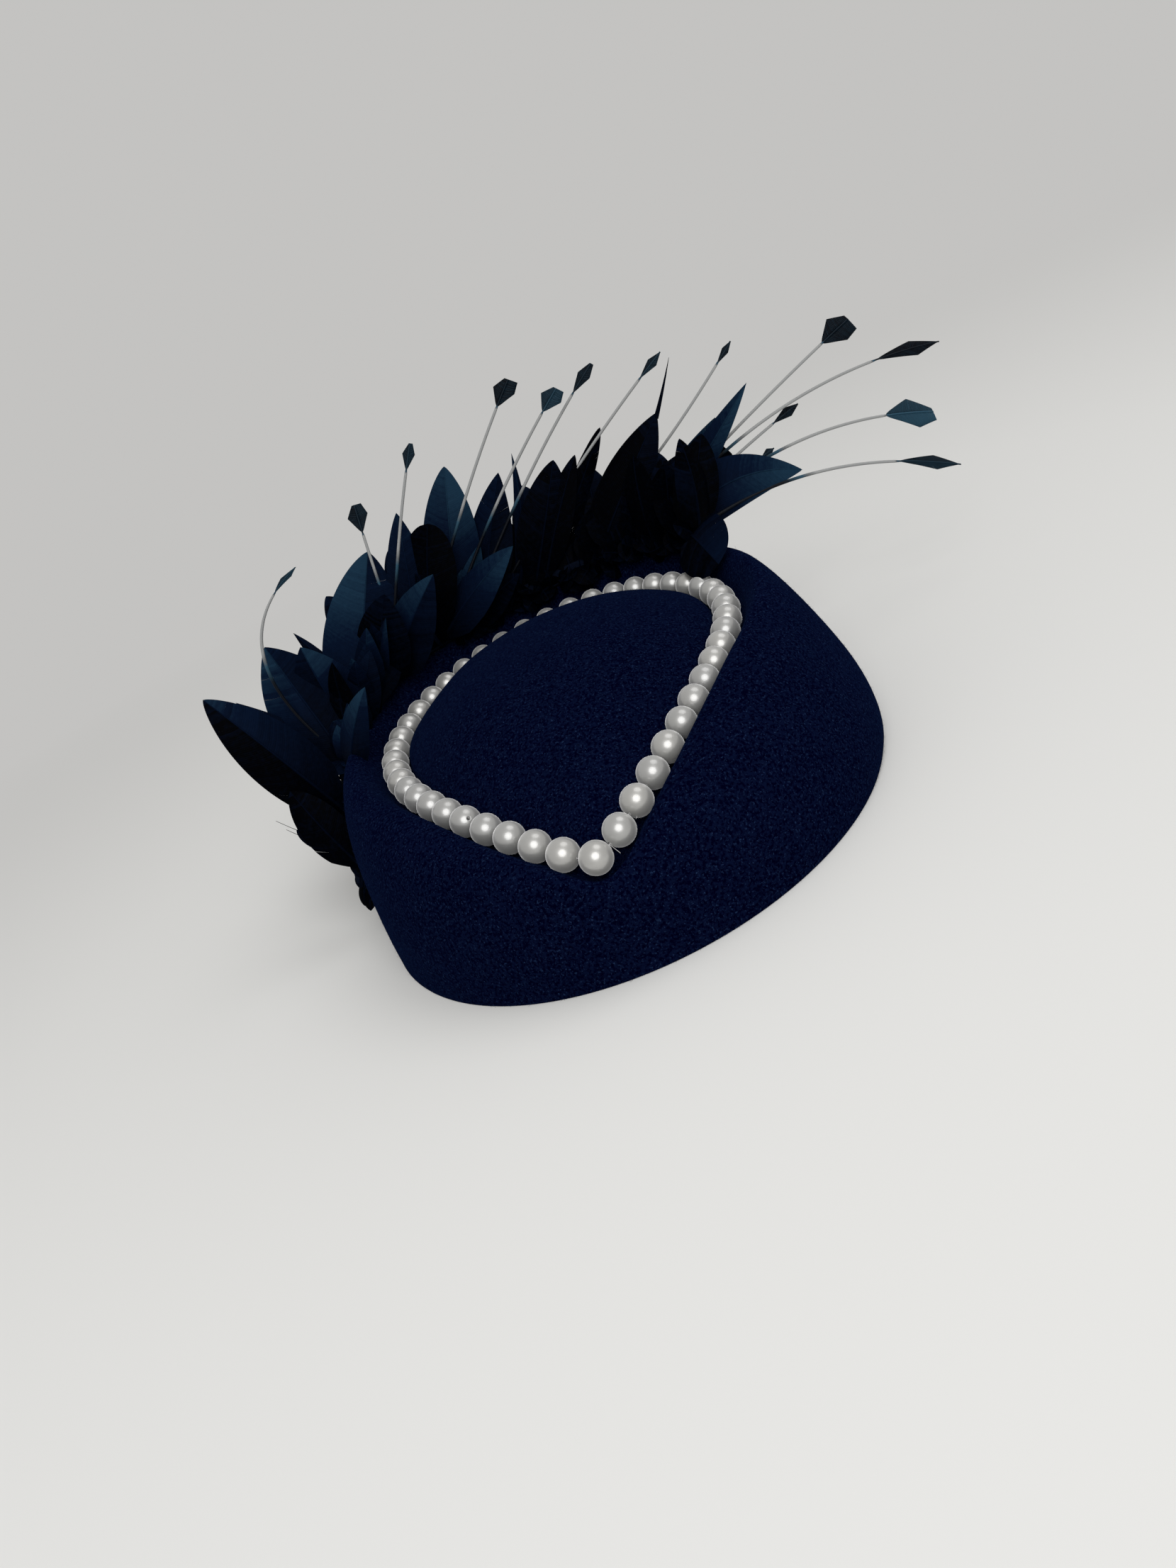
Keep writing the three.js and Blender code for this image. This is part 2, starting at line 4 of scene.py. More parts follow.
import bpy
import numpy as np
from bpy.props import FloatProperty, FloatVectorProperty, IntProperty, PointerProperty
from mathutils import Matrix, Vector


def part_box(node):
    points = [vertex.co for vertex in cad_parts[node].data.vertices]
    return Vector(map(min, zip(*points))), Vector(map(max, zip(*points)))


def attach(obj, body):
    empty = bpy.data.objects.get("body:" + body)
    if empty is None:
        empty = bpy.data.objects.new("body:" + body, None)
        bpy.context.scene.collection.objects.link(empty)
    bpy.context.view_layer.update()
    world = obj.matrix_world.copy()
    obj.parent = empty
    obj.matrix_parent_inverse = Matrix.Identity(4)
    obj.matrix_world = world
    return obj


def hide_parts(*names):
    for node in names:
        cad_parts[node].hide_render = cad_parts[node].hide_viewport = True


bl_info = {
    "name": "Felt percher hat",
    "version": (1, 0, 0),
    "blender": (4, 5, 0),
    "location": "3D View > Sidebar > Hat",
    "description": "Felt shell, pearl string, trimmed feathers, stripped quills and head elastic",
    "category": "Add Mesh",
}

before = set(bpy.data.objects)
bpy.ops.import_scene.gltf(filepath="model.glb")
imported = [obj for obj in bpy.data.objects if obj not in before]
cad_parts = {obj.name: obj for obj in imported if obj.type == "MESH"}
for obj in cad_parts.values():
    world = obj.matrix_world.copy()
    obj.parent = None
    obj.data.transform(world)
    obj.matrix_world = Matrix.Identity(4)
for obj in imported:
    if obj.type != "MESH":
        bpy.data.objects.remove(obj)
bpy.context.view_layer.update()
MM = 0.001

# Sizes of the felt shell in millimetres, rim in the plane z 0 and the pearl line's middle over the origin
RIM = Sizes(half_width=93.5, front=101.5, back=118.0, centre_x=2.5, centre_y=-6.5, hub_y=2.0, lean=0.07,
            pull=0.5)
BELLY = Sizes(out=11.2, pull=0.28, roll=0.37)
LOOP = Sizes(half_width=65.5, waist=12.0, front=113.3, back=73.5, leg_share=0.55, leg_power=1.85,
             point_round=4.3, seam=0.002, step=1e-4, samples=1201)
RISE = Sizes(height=51.8, tilt=0.055, dip=13.8, reach=95.0)
GROOVE = Sizes(floor=6.3, flank_out=4.8, flank_drop=3.35, edge_out=5.9, edge_rise=0.3, lip_clear=0.3)
SHOULDER = Sizes(out=0.4, rise=0.6)
DOME = Sizes(centre_y=15.0, top=70.2, half_width=58.0, front=80.0, back=64.0, power=3.0)
DOME_RINGS = (0.97, 0.93, 0.88, 0.82, 0.75, 0.66, 0.56, 0.46, 0.35, 0.24, 0.12)
LIP_ROLL = 0.72
LIP = dict(
    share=(-0.12, 0.0, 0.12, 0.28, 0.5, 0.75, 1.0, 1.25),
    out=(7.2, 6.2, 7.2, 8.0, 14.0, 15.0, 13.0, 15.0),
    rise=(-1.5, -5.2, -1.5, 3.0, 7.0, 10.0, 9.0, 10.0),
)
CROWN = Sizes(columns=300, wall_rings=15, step=1.5, inner_skip=2, bevel=0.3)
# Soft waves of hand blocking: lengths and phases of the sines along x, y, their slope and z, the share of
# the second product, and the height over the rim where they are full
WAVE = Sizes(x=11.0, x_phase=0.7, y=13.0, y_phase=0.2, slope=7.3, z=9.0, z_phase=1.1, share=0.6, fade=8.0)
# Loose fibres: spread of the lengths, lift off the felt, sideways curl, droop of the outer half
FIBRE = Sizes(seed=3, spread=0.4, lift=(0.15, 1.0), curl=0.3, droop=0.5, sink=0.1, aside=(0.31, 0.57, 0.76))

# The feather band: share of its length, place on the pearl line, and how far down the wall it sits
BAND = dict(
    share=(0.0, 0.36, 0.57, 0.72, 0.84, 0.93, 1.0),
    at=(0.335, 0.5, 0.605, 0.665, 0.705, 0.735, 0.755),
    down=(0.0, 0.0, 0.02, 0.1, 0.28, 0.52, 0.74),
)
BAND_STEP = Sizes(along=0.004, down=0.02)
# Ribbon of the band, and the thin strip that stands on it
STRIP = Sizes(width=7.0, thick=1.4, clear=0.35, sink=0.1, sides=14, stations=120)
STAND = Sizes(height=6.0, thick=0.8, sides=10)
# The way the flat of an unrolled feather looks
FEATHER_FACE = np.array((0.1, -0.92, 0.38))

# Leaf feathers: place on the band, tip, full width, roll in degrees, how light the feather is (0 to 1),
# from its dye and from painted light and shade, how the tip is cut (small is round, 1 is a straight
# point), the bow of the shaft, how much lighter one side of the vane is than the other as painted sheen
# on one half and painted shade on the other, and how far the shaft arches up
FEATHER_COLUMNS = "share x y z width roll tone tip bow split rise".split()
FEATHERS = (
    (0.1, 118, 76, 69, 22, 0, 0.90, 0.9, 3, 0.12, 9),
    (0.23, 97, 94, 84, 30, -10, 0.00, 0.4, 4, 0, 0),
    (0.04, 70.5, 31, 60.5, 24, 35, 0.18, 0.4, 4, -0.1, 4),
    (0.14, 112, 89, 107, 12, 15, 0.80, 1.0, 3, 0.1, 0),
    (0.17, 96.5, 95, 99.5, 14, 30, 0.60, 0.9, 3, -0.1, 0),
    (0.25, 76, 99, 111, 22, 0, 0.12, 0.9, 4, 0.08, 0),
    (0.36, 53, 106, 115, 10, 20, 0.02, 0.7, 4, 0, 0),
    (0.35, 39, 103, 110, 13, -10, 0.04, 0.8, 4, 0, 0),
    (0.37, 30, 103, 112, 22, 10, 0.12, 0.8, 4, 0, 0),
    (0.40, 15, 113, 121, 7, 40, 0.55, 1.0, 5, 0, 0),
    (0.46, 7, 106, 117, 20, -10, 0.35, 0.9, 4, -0.1, 0),
    (0.55, 1, 82, 91, 20, -25, 0.75, 0.9, 3, 0, 0),
    (0.49, -2, 86, 79, 18, -30, 0.20, 0.9, 2, 0, 0),
    (0.51, -12, 105, 129, 24, 5, 0.95, 0.8, 4, 0.1, 0),
    (0.52, -12, 94, 96, 11, 25, 0.85, 0.9, 2, 0, 0),
    (0.56, -27, 90, 113, 24, -10, 0.04, 0.5, 4, 0, 0),
    (0.59, -37, 94, 122, 18, 15, 0.55, 0.9, 4, 0, 0),
    (0.67, -30, 62, 98, 24, -20, 0.60, 0.9, 3, -0.25, 0),
    (0.80, -55.3, 93.9, 113.3, 32, 10, 0.75, 0.8, 4, -0.35, 0),
    (0.69, -50, 58, 100, 24, -15, 0.06, 0.8, 3, 0, 0),
    (0.75, -92, 66, 101, 8, 30, 0.30, 1.0, 3, 0, 0),
    (0.86, -98, 45, 104, 30, 10, 0.60, 0.9, 4, -0.2, 0),
    (0.80, -84, 39, 99, 26, -10, 0.50, 0.9, 4, 0.25, 0),
    (0.88, -62, 10, 81, 16, -30, 0.80, 0.9, 3, -0.2, 0),
    (0.93, -113, 4, 103, 23, 15, 0.30, 0.8, 6, 0.25, 0),
    (0.85, -115, 33, 92, 7, 0, 0.40, 1.0, 3, 0, 0),
    (0.99, -101, -4, 62, 16, 0, 0.04, 0.7, 4, 0, 0),
    (0.96, -112, 8, 44, 12, 20, 0.03, 0.8, 3, 0, 0),
)
# A plain row of leaves that leans back behind them
BACK_ROW = Sizes(count=7, first=0.12, last=0.76, out=34.0, rise=24.0, arch=18.0, width=20.0, roll_from=-20.0,
                 roll_to=40.0, tone=0.3, tip=0.8, bow=3.0)
# Leaves between them that close the plume, and short fringes that hide the band. Pairs are ranges to draw
# from: length, width, and the shares by which a leaf runs off the felt, level outwards and along the band.
# The last columns are its share straight up, its tip and its bow
COVER_COLUMNS = "count first last length width off lean slant upright tip bow".split()
COVERS = dict(
    closing_right=(11, 0.03, 0.22, (26, 42), (15, 21), (1, 1), (0, 0.6), (-0.35, 0.35), 0, 0.8, 3),
    closing_low=(8, 0.22, 0.35, (15, 25), (13, 18), (1, 1), (0, 0.6), (-0.35, 0.35), 0, 0.8, 2),
    closing_left=(28, 0.35, 0.82, (26, 42), (15, 21), (1, 1), (0, 0.6), (-0.35, 0.35), 0, 0.8, 3),
    front=(40, 0.5, 0.86, (18, 36), (8, 14), (0, 0), (-0.75, -0.05), (-0.7, 0.2), 1, 0.9, 2),
    right_fringe=(60, 0, 0.5, (9, 15), (8, 12), (-0.3, 0.7), (-1.2, -0.5), (-0.6, 0.6), 0, 0.6, 1.5),
    left_fringe=(36, 0.5, 0.84, (11, 18), (8, 12), (0.5, 1), (-0.7, 0.3), (-0.7, 0.7), 0, 0.7, 1.5),
    end_fringe=(18, 0.82, 0.97, (9, 14), (6, 9), (0.15, 0.4), (-0.2, 0.1), (0.5, 1), 0, 0.8, 1),
    tail_fringe=(8, 0.965, 1, (8, 12), (6, 9), (0.25, 0.5), (-0.2, 0.1), (0.6, 1), 0, 0.8, 1),
    closing_end=(4, 0.9, 0.95, (12, 16), (9, 12), (1, 1), (0, 0.2), (0.2, 0.45), 0, 0.8, 1),
)
COVER_PIECES = dict(
    back_feathers=("closing_right", "closing_low", "closing_left"),
    front_feathers=("front",),
    fringe_feathers=("right_fringe", "left_fringe", "end_fringe", "tail_fringe", "closing_end"),
)
# Along the band the covering leaves are black, blue from the change on, and black again at the end
# The split paints sheen on one half of each covering leaf's vane and shade on the other
COVER_TONE = Sizes(change=0.47, end=0.92, black=0.02, blue=0.28, spread=0.26, split=0.4)
COVER_ROLL = 40.0
# Thin strands that run on from a tip or stand off an edge: from, to, radius at the start
STRANDS = (
    ((75, 99, 109), (89.3, 103.7, 127.5), 1.1),
    ((-104.5, 4, 36.5), (-113.4, 4, 47.2), 0.15),
    ((-104, 5, 37.5), (-115.8, 6, 51.3), 0.15),
)
STRAND = Sizes(tip=0.08, sag=(0.0, -0.6, -0.6), stations=8, sides=5, tone=0.1)
LEAF_BELLY = 0.7
# Two of the barb sizes paint shade: the share of a leaf's tone left at its root, and the power by which it
# rises towards the tip
BARB = Sizes(spacing=0.95, segments=4, root=0.05, sweep=0.23, along_power=1.2, out_power=0.9, ridge=0.04,
             cup=0.16, clump=18, clump_lift=0.1, clump_tone=0.06, root_tone=0.03, tone_power=1.3,
             uneven=0.04)
SHAFT = Sizes(base=0.75, tip=0.16, end=0.99, sides=6, stations=16, paler=0.1)

# Pearls: rings and columns of one, the floor of its drilled hole in radii, the soft edge of that hole,
# and how much the sizes differ
PEARL = Sizes(rows=19, columns=32, hole_floor=0.1, edge_soft=0.05, seed=5, spread=0.006)
THREAD = Sizes(stations=400, sides=6, end_stations=9, aside=(0.3, 0.2, 0.9))
# One pearl has turned on the thread, so its hole shows
TURNED_PEARL = Sizes(number=41, hole_way=(0.473, -0.805, 0.425))
# Cut ends of the clear thread between the lowest pearls: from, middle, to
THREAD_ENDS = (
    ((4.7, -95.1, 34.9), (5.4, -95.4, 33.9), (6.5, -96.1, 31.7)),
    ((12.4, -88.4, 37.8), (15.6, -88.4, 36.9), (13.8, -89.0, 36.0)),
)

# Stripped quills: place on the band, tip, bow upwards and sway to the right, length and width of the vane
# left at the tip, the share of its width left at its cut end (0 is a kite), and how light the dye took
QUILL_COLUMNS = "share x y z bow sway vane_length vane_width square tone".split()
QUILLS = (
    (0.85, -67.4, 30, 126.6, 11, -18.3, 13, 4, 0.1, 0.60),
    (0.62, -49.8, 88.7, 132.5, 2, 0, 13, 8.5, 0.45, 0.15),
    (0.66, -16.7, 79, 144.2, 3, 0, 12, 5, 0.3, 0.30),
    (0.575, 27.6, 94, 148.2, 4, 0, 13, 9, 0.6, 0.10),
    (0.535, 43.3, 98.5, 136.8, 4, 0, 12, 9, 0.5, 0.55),
    (0.495, 60, 104, 139, 4, 0, 15, 5.4, 0.3, 0.15),
    (0.45, 87.2, 106, 130.8, 3, 0, 14, 4.2, 0.05, 0.30),
    (0.35, 115.9, 115, 121.5, -5, 0, 10, 3.2, 0.1, 0.15),
    (0.19, 161, 107, 109.5, 2, 0, 15, 12, 0.6, 0.10),
    (0.165, 194, 113, 84.5, 14, 0, 30, 7, 0, 0.05),
    (0.14, 130.2, 103, 88.6, 2, 0, 14, 4.6, 0.1, 0.10),
    (0.1, 177.5, 93.5, 63.5, 13, 0, 21, 13, 0.4, 1.00),
    (0.065, 178, 82, 41.7, 12, 0, 26, 6, 0, 0.30),
    (0.12, 114.7, 102, 76.7, 1, 0, 7, 3.5, 0, 0.20),
)
QUILL = Sizes(base=0.7, tip=0.55, sides=8, stations=60, clear=0.35, belly=0.62, barb_spacing=0.55,
              loose=0.15, vane_stem=0.6, pale_from=50.0, pale_share=0.4, pale_over=14.0, pale_tone=2.0,
              slant=0.45, darker_side=0.6)

# Head elastic: an oval on the surface, and the shape of each end up to the felt
ELASTIC_OVAL = Sizes(half_width=80.0, back=90.0, centre_y=9.2, floor=1.1, arcs=18)
ELASTIC_END = dict(
    out=(89.4, 86.0, 82.9, 81.1, 80.3),
    belly=(2.6, 1.8, 0.9, 0.3, 0.0),
    y=(-5.0, -4.6, -2.6, 1.5, 7.0),
    z=(9.0, 8.6, 6.4, 3.4, 1.5),
)
ELASTIC_TUBE = Sizes(step=1.6, sides=12)

# Viewpoint in the hat's own millimetres: place, and the picture's right, down and forward
CAMERA = dict(
    place=(43.08, -364.28, 162.79),
    right=(0.9029, -0.0519, -0.4266),
    down=(-0.4119, -0.3881, -0.8245),
    forward=(-0.1228, 0.9202, -0.3718),
)
SENSOR_WIDTH = 36.0
CLIP = (0.01, 100.0)
# Floor and lights in metres: the floor fades out between two radii, the front light stands off the camera
FLOOR = Sizes(sides=96, radii=(0.3, 0.9, 3.0, 12.0), fade_from=0.3, fade_to=1.1)
FRONT_LIGHT = Sizes(size=1.3, off_camera=(0.15, -0.8, 0.75))
TOP_LIGHT = Sizes(size=1.4, place=(0.95, 0.3, 1.9))
LIGHT_AIM = (0.0, 0.0, 45.0)
UP = (0.0, 0.0, 1.0)
TINY = 1e-6


def find_shift():
    """Offset in millimetres from the hat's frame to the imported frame, from the boxes of pearls and felt."""
    low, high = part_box("pearl_string")
    x = (low[0] + high[0]) / 2 / MM
    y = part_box("felt_crown")[0][1] / MM - (RIM.centre_y - RIM.front)
    return np.array((x, y, 0.0))


SHIFT = find_shift()


def to_metres(points):
    """Points of the hat's own frame, in millimetres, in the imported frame's metres."""
    return (np.asarray(points, dtype=float) + SHIFT) * MM


def mix(a, b, t):
    """Straight blend from a at t 0 to b at t 1."""
    return a + (b - a) * t


def named(columns, values):
    """One row of a table, its values read by the columns' names."""
    return Sizes(**dict(zip(columns, values)))


def unit(vectors):
    """Vectors scaled to length 1 along the last axis."""
    return vectors / np.linalg.norm(vectors, axis=-1, keepdims=True)


def cubic(a, b, slope_a, slope_b, span, t):
    """Cubic from a to b over a span, with the given slopes at its ends."""
    s = 1 - t
    return a * s * s * (1 + 2 * t) + b * t * t * (1 + 2 * s) + span * t * s * (slope_a * s - slope_b * t)


def from_table(table, share, column):
    """Smooth cubic through a table's column: each row's slope is the chord between its two neighbours."""
    knots = np.array(table["share"])
    values = np.array(table[column])
    slopes = np.empty_like(values)
    slopes[1:-1] = (values[2:] - values[:-2]) / (knots[2:] - knots[:-2])
    slopes[0] = (values[1] - values[0]) / (knots[1] - knots[0])
    slopes[-1] = (values[-1] - values[-2]) / (knots[-1] - knots[-2])
    i = np.clip(np.searchsorted(knots, share) - 1, 0, len(knots) - 2)
    span = knots[i + 1] - knots[i]
    t = np.clip((share - knots[i]) / span, 0, 1)
    return cubic(values[i], values[i + 1], slopes[i], slopes[i + 1], span, t)


def loop_point(t):
    """Pearl line: each leg leaves the rounded front point and widens as 1 minus a power of the way left,
    half an ellipse closes the back, and the height is a slope along y less a square dip at the point."""
    side = np.where(t < 0.5, 1.0, -1.0)
    share = np.where(t < 0.5, 2 * t, 2 - 2 * t)
    left = np.maximum(1 - share / LOOP.leg_share, 0)
    point_y = LOOP.waist - LOOP.front
    leg_x = LOOP.half_width * (1 - left ** LOOP.leg_power)
    leg_y = point_y + np.hypot(LOOP.front * (1 - left), LOOP.point_round)
    angle = (share - LOOP.leg_share) / (1 - LOOP.leg_share) * np.pi / 2
    on_leg = share < LOOP.leg_share
    x = np.where(on_leg, leg_x, LOOP.half_width * np.cos(angle))
    y = np.where(on_leg, leg_y, LOOP.waist + LOOP.back * np.sin(angle))
    near = np.maximum(0, 1 - np.hypot(x, y - point_y) / RISE.reach)
    z = RISE.height + RISE.tilt * y - RISE.dip * near * near
    return np.stack([side * x, y, z], axis=-1)


LOOP_STEPS = np.linspace(0, 1, LOOP.samples)
LOOP_CHORDS = np.linalg.norm(np.diff(loop_point(LOOP_STEPS), axis=0), axis=1)
LOOP_RUN = np.concatenate([[0], np.cumsum(LOOP_CHORDS)])


def loop_parameter(at):
    """Parameter of the pearl line at a share of its length."""
    return np.interp(np.asarray(at) * LOOP_RUN[-1], LOOP_RUN, LOOP_STEPS)


def loop_at(at):
    """Point of the pearl line at a share of its length."""
    return loop_point(loop_parameter(at))


def crown_columns(at):
    """Sections of the shell at shares of the pearl line: where each stands, the level way out to the rim's
    oval, how far that is, and its lip's distance and height from a table along the line."""
    at = np.asarray(at, dtype=float)
    point = loop_at(at)
    t = loop_parameter(np.clip(at, LOOP.seam, 1 - LOOP.seam))
    step = LOOP.step
    tangent = loop_point(np.minimum(t + step, 1)) - loop_point(np.maximum(t - step, 0))
    normal = unit(np.stack([tangent[..., 1], -tangent[..., 0]], axis=-1))
    turn = np.arctan2(point[..., 0], RIM.hub_y - point[..., 1])
    depth = np.where(np.cos(turn) > 0, RIM.front, RIM.back)
    rim_x = RIM.centre_x + RIM.half_width * np.sin(turn)
    rim_y = RIM.centre_y - depth * np.cos(turn)
    out = np.stack([rim_x, rim_y], axis=-1) - point[..., :2]
    width = np.linalg.norm(out, axis=-1)
    out = out / width[..., None]
    share = np.where(at < 0.5, 2 * at, 2 - 2 * at)
    stretch = 1 / np.sum(out * normal, axis=-1)
    lip_out = from_table(LIP, share, "out") * stretch
    lip_z = point[..., 2] + from_table(LIP, share, "rise")
    return Sizes(point=point, out=out, width=width, turn=turn, stretch=stretch, lip_out=lip_out, lip_z=lip_z)


def in_section(c, out, z):
    """Place in a section: so far out from the pearl line, at that height."""
    level = c.point[..., :2] + c.out * np.asarray(out)[..., None]
    z = np.broadcast_to(z, level.shape[:-1])
    return np.concatenate([level, z[..., None]], axis=-1)


def wall_point(c, t):
    """Side wall as a cubic Bezier curve in its section: level off the lip at t 0, leaning at the rim at t 1,
    with a belly that grows with the square of the sine of the turn on the right."""
    s = 1 - t
    belly = np.maximum(0, np.sin(c.turn)) ** 2
    roll = c.lip_out + (LIP_ROLL - BELLY.roll * belly) * (c.width - c.lip_out)
    foot_z = (RIM.pull - BELLY.pull * belly) * c.lip_z
    foot = c.width - RIM.lean * foot_z + BELLY.out * belly
    out = s**3 * c.lip_out + 3 * s * s * t * roll + 3 * s * t * t * foot + t**3 * c.width
    z = (s**3 + 3 * s * s * t) * c.lip_z + 3 * s * t * t * foot_z
    return in_section(c, out, z)


def crown_rings(at):
    """Key rings of the shell's outer side: wall curve, shoulder, groove under the pearls, and a dome whose
    outline turns from the teardrop to an oval with rho squared, its height falling as a power of rho."""
    c = crown_columns(at)
    pearl_z = c.point[..., 2]
    flank_out = GROOVE.flank_out * c.stretch
    flank_z = pearl_z - GROOVE.flank_drop
    wall = wall_point(c, np.linspace(1, 0, CROWN.wall_rings)[:, None])
    shoulder_out = mix(flank_out, c.lip_out, SHOULDER.out)
    shoulder = in_section(c, shoulder_out, mix(flank_z, c.lip_z, SHOULDER.rise))
    outer = in_section(c, flank_out, np.minimum(flank_z, c.lip_z - GROOVE.lip_clear))
    floor = in_section(c, 0 * flank_out, pearl_z - GROOVE.floor)
    inner = in_section(c, -flank_out, flank_z)
    edge = in_section(c, -GROOVE.edge_out * c.stretch, pearl_z + GROOVE.edge_rise)
    rho = np.array(DOME_RINGS)[:, None]
    depth = np.where(np.cos(c.turn) > 0, DOME.front, DOME.back)
    x = mix(DOME.half_width * np.sin(c.turn), edge[:, 0], rho * rho) * rho
    y = mix(-depth * np.cos(c.turn), edge[:, 1] - DOME.centre_y, rho * rho) * rho + DOME.centre_y
    z = mix(DOME.top, edge[:, 2], rho ** DOME.power)
    dome = np.stack([x, y, z], axis=-1)
    pole = np.broadcast_to(np.array((0.0, DOME.centre_y, DOME.top)), edge.shape)
    return np.concatenate([wall, np.stack([shoulder, outer, floor, inner, edge]), dome, pole[None]])


def refine_rows(rings, step):
    """Cubic curve through each column's key points: slopes come from the two chords beside each point, each
    weighted by the other's length, and every interval is cut into steps of about the given length."""
    chord = np.diff(rings, axis=0)
    span = np.maximum(np.linalg.norm(chord, axis=-1, keepdims=True), TINY)
    rate = chord / span
    slope = np.empty_like(rings)
    slope[1:-1] = (rate[:-1] * span[1:] + rate[1:] * span[:-1]) / (span[1:] + span[:-1])
    slope[0] = rate[0]
    slope[-1] = rate[-1]
    rows = []
    for i, mean in enumerate(span.mean(axis=(1, 2))):
        count = max(2, round(mean / step))
        t = np.arange(count)[:, None, None] / count
        rows.append(cubic(rings[i], rings[i + 1], slope[i], slope[i + 1], span[i], t))
    return np.concatenate(rows + [rings[-1:]])


def grid_normals(rows):
    """Unit normals of a grid that closes round its columns, from the steps to the neighbouring points."""
    around = np.roll(rows, -1, axis=1) - np.roll(rows, 1, axis=1)
    up = np.gradient(rows, axis=0)
    normal = np.cross(around, up)
    normal[-1] = UP
    return unit(normal)


def grid_faces(rows, columns, close_rows=False):
    """Quads of a grid of points stored row by row that closes round its columns."""
    r = np.arange(rows if close_rows else rows - 1)[:, None] * columns
    c = np.arange(columns)[None]
    up = (r + columns) % (rows * columns)
    beside = (c + 1) % columns
    return np.stack([r + c, r + beside, up + beside, up + c], axis=-1).reshape(-1, 4)


def closed_faces(rows, columns):
    """Quads of a grid of rings, and the fans that close its ends on two points stored after the rings."""
    i = np.arange(columns)
    j = (i + 1) % columns
    last = (rows - 1) * columns
    start_fan = np.stack([j, i, np.full(columns, rows * columns)], axis=-1)
    end_fan = np.stack([last + i, last + j, np.full(columns, rows * columns + 1)], axis=-1)
    return grid_faces(rows, columns), np.concatenate([start_fan, end_fan])


class Body:
    """Points, faces and per-point values gathered part by part, then made into one mesh."""

    def __init__(self):
        self.points = []
        self.quads = []
        self.tris = []
        self.values = {}
        self.count = 0

    def add(self, points, quads=None, tris=None, **values):
        """Take in one part, with faces counted from its own first point."""
        points = np.asarray(points, dtype=float).reshape(-1, 3)
        self.points.append(points)
        if quads is not None:
            self.quads.append(np.asarray(quads).reshape(-1, 4) + self.count)
        if tris is not None:
            self.tris.append(np.asarray(tris).reshape(-1, 3) + self.count)
        for name, value in values.items():
            self.values.setdefault(name, []).append(np.broadcast_to(value, len(points)).astype(float))
        self.count += len(points)

    def piece(self, name, material, slot, smooth=True, replaces=()):
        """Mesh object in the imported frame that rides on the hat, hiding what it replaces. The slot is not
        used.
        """
        quads = np.concatenate(self.quads) if self.quads else np.zeros((0, 4), int)
        tris = np.concatenate(self.tris) if self.tris else np.zeros((0, 3), int)
        points = to_metres(np.concatenate(self.points))
        mesh = bpy.data.meshes.new(name)
        mesh.vertices.add(len(points))
        mesh.vertices.foreach_set("co", points.ravel())
        corners = np.concatenate([quads.ravel(), tris.ravel()])
        totals = np.concatenate([np.full(len(quads), 4), np.full(len(tris), 3)])
        mesh.loops.add(len(corners))
        mesh.loops.foreach_set("vertex_index", corners)
        mesh.polygons.add(len(totals))
        mesh.polygons.foreach_set("loop_start", np.cumsum(totals) - totals)
        mesh.polygons.foreach_set("loop_total", totals)
        mesh.polygons.foreach_set("use_smooth", np.full(len(totals), smooth))
        for key, parts in self.values.items():
            mesh.attributes.new(key, "FLOAT", "POINT").data.foreach_set("value", np.concatenate(parts))
        mesh.update()
        if mesh.validate():
            raise RuntimeError(f"{name}: the mesh had faces that do not hold")
        mesh.materials.append(material)
        piece = bpy.data.objects.new(name, mesh)
        bpy.context.scene.collection.objects.link(piece)
        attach(piece, "root")
        if replaces:
            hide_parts(*replaces)
        return piece


def tube_rings(path, across, face, radius, sides):
    """Rings of a round tube along a path: radius times cosine along one way and sine along the other."""
    across, face = (np.broadcast_to(way, path.shape)[:, None] for way in (across, face))
    turn = 2 * np.pi * np.arange(sides)[:, None] / sides
    ring = across * np.cos(turn) + face * np.sin(turn)
    return path[:, None] + ring * np.broadcast_to(radius, len(path))[:, None, None]


def add_tube(body, path, across, face, radius, sides, **values):
    """Closed tube along a path, with a point on its axis closing each end; values may change along the path.
    The rings run right-handed round the path, so the faces look outwards."""
    if np.sum(np.cross(across, face) * np.gradient(path, axis=0)) < 0:
        across = -across
    rings = tube_rings(path, across, face, radius, sides)
    for name, value in values.items():
        value = np.broadcast_to(value, len(path))
        values[name] = np.concatenate([np.repeat(value, sides), value[:1], value[-1:]])
    points = np.concatenate([rings.reshape(-1, 3), path[:1], path[-1:]])
    body.add(points, *closed_faces(len(path), sides), **values)


def band_frame(share):
    """Seat of the feather band on the felt at shares of its length, with the ways along it, out of the felt
    and level outwards, each from small steps along and down the wall."""
    share = np.asarray(share, dtype=float)

    def place(s, sink):
        return wall_point(crown_columns(from_table(BAND, s, "at")), from_table(BAND, s, "down") + sink)

    step = BAND_STEP.along
    seat = place(share, 0.0)
    along = unit(place(np.minimum(share + step, 1), 0.0) - place(np.maximum(share - step, 0), 0.0))
    downhill = unit(place(share, BAND_STEP.down) - seat)
    normal = unit(np.cross(downhill, along))
    out = crown_columns(from_table(BAND, share, "at")).out
    return seat, along, normal, out


def turned(vector, axis, degrees):
    """A vector turned about a unit axis by Rodrigues' formula."""
    angle = np.radians(degrees)
    level = vector * np.cos(angle) + np.cross(axis, vector) * np.sin(angle)
    return level + axis * np.dot(axis, vector) * (1 - np.cos(angle))


def bezier(a, b, c, u):
    """Quadratic Bezier curve from a to c that bends towards b."""
    u = np.asarray(u)[..., None]
    return (1 - u) ** 2 * a + 2 * u * (1 - u) * b + u * u * c


def leaf_outline(u, tip):
    """Half width of a leaf as a share of its fullest: a power of the way out times one of the way left."""
    fullest = LEAF_BELLY / (LEAF_BELLY + tip)
    peak = fullest**LEAF_BELLY * (1 - fullest) ** tip
    u = np.clip(u, 0, 1)
    return u**LEAF_BELLY * (1 - u) ** tip / peak


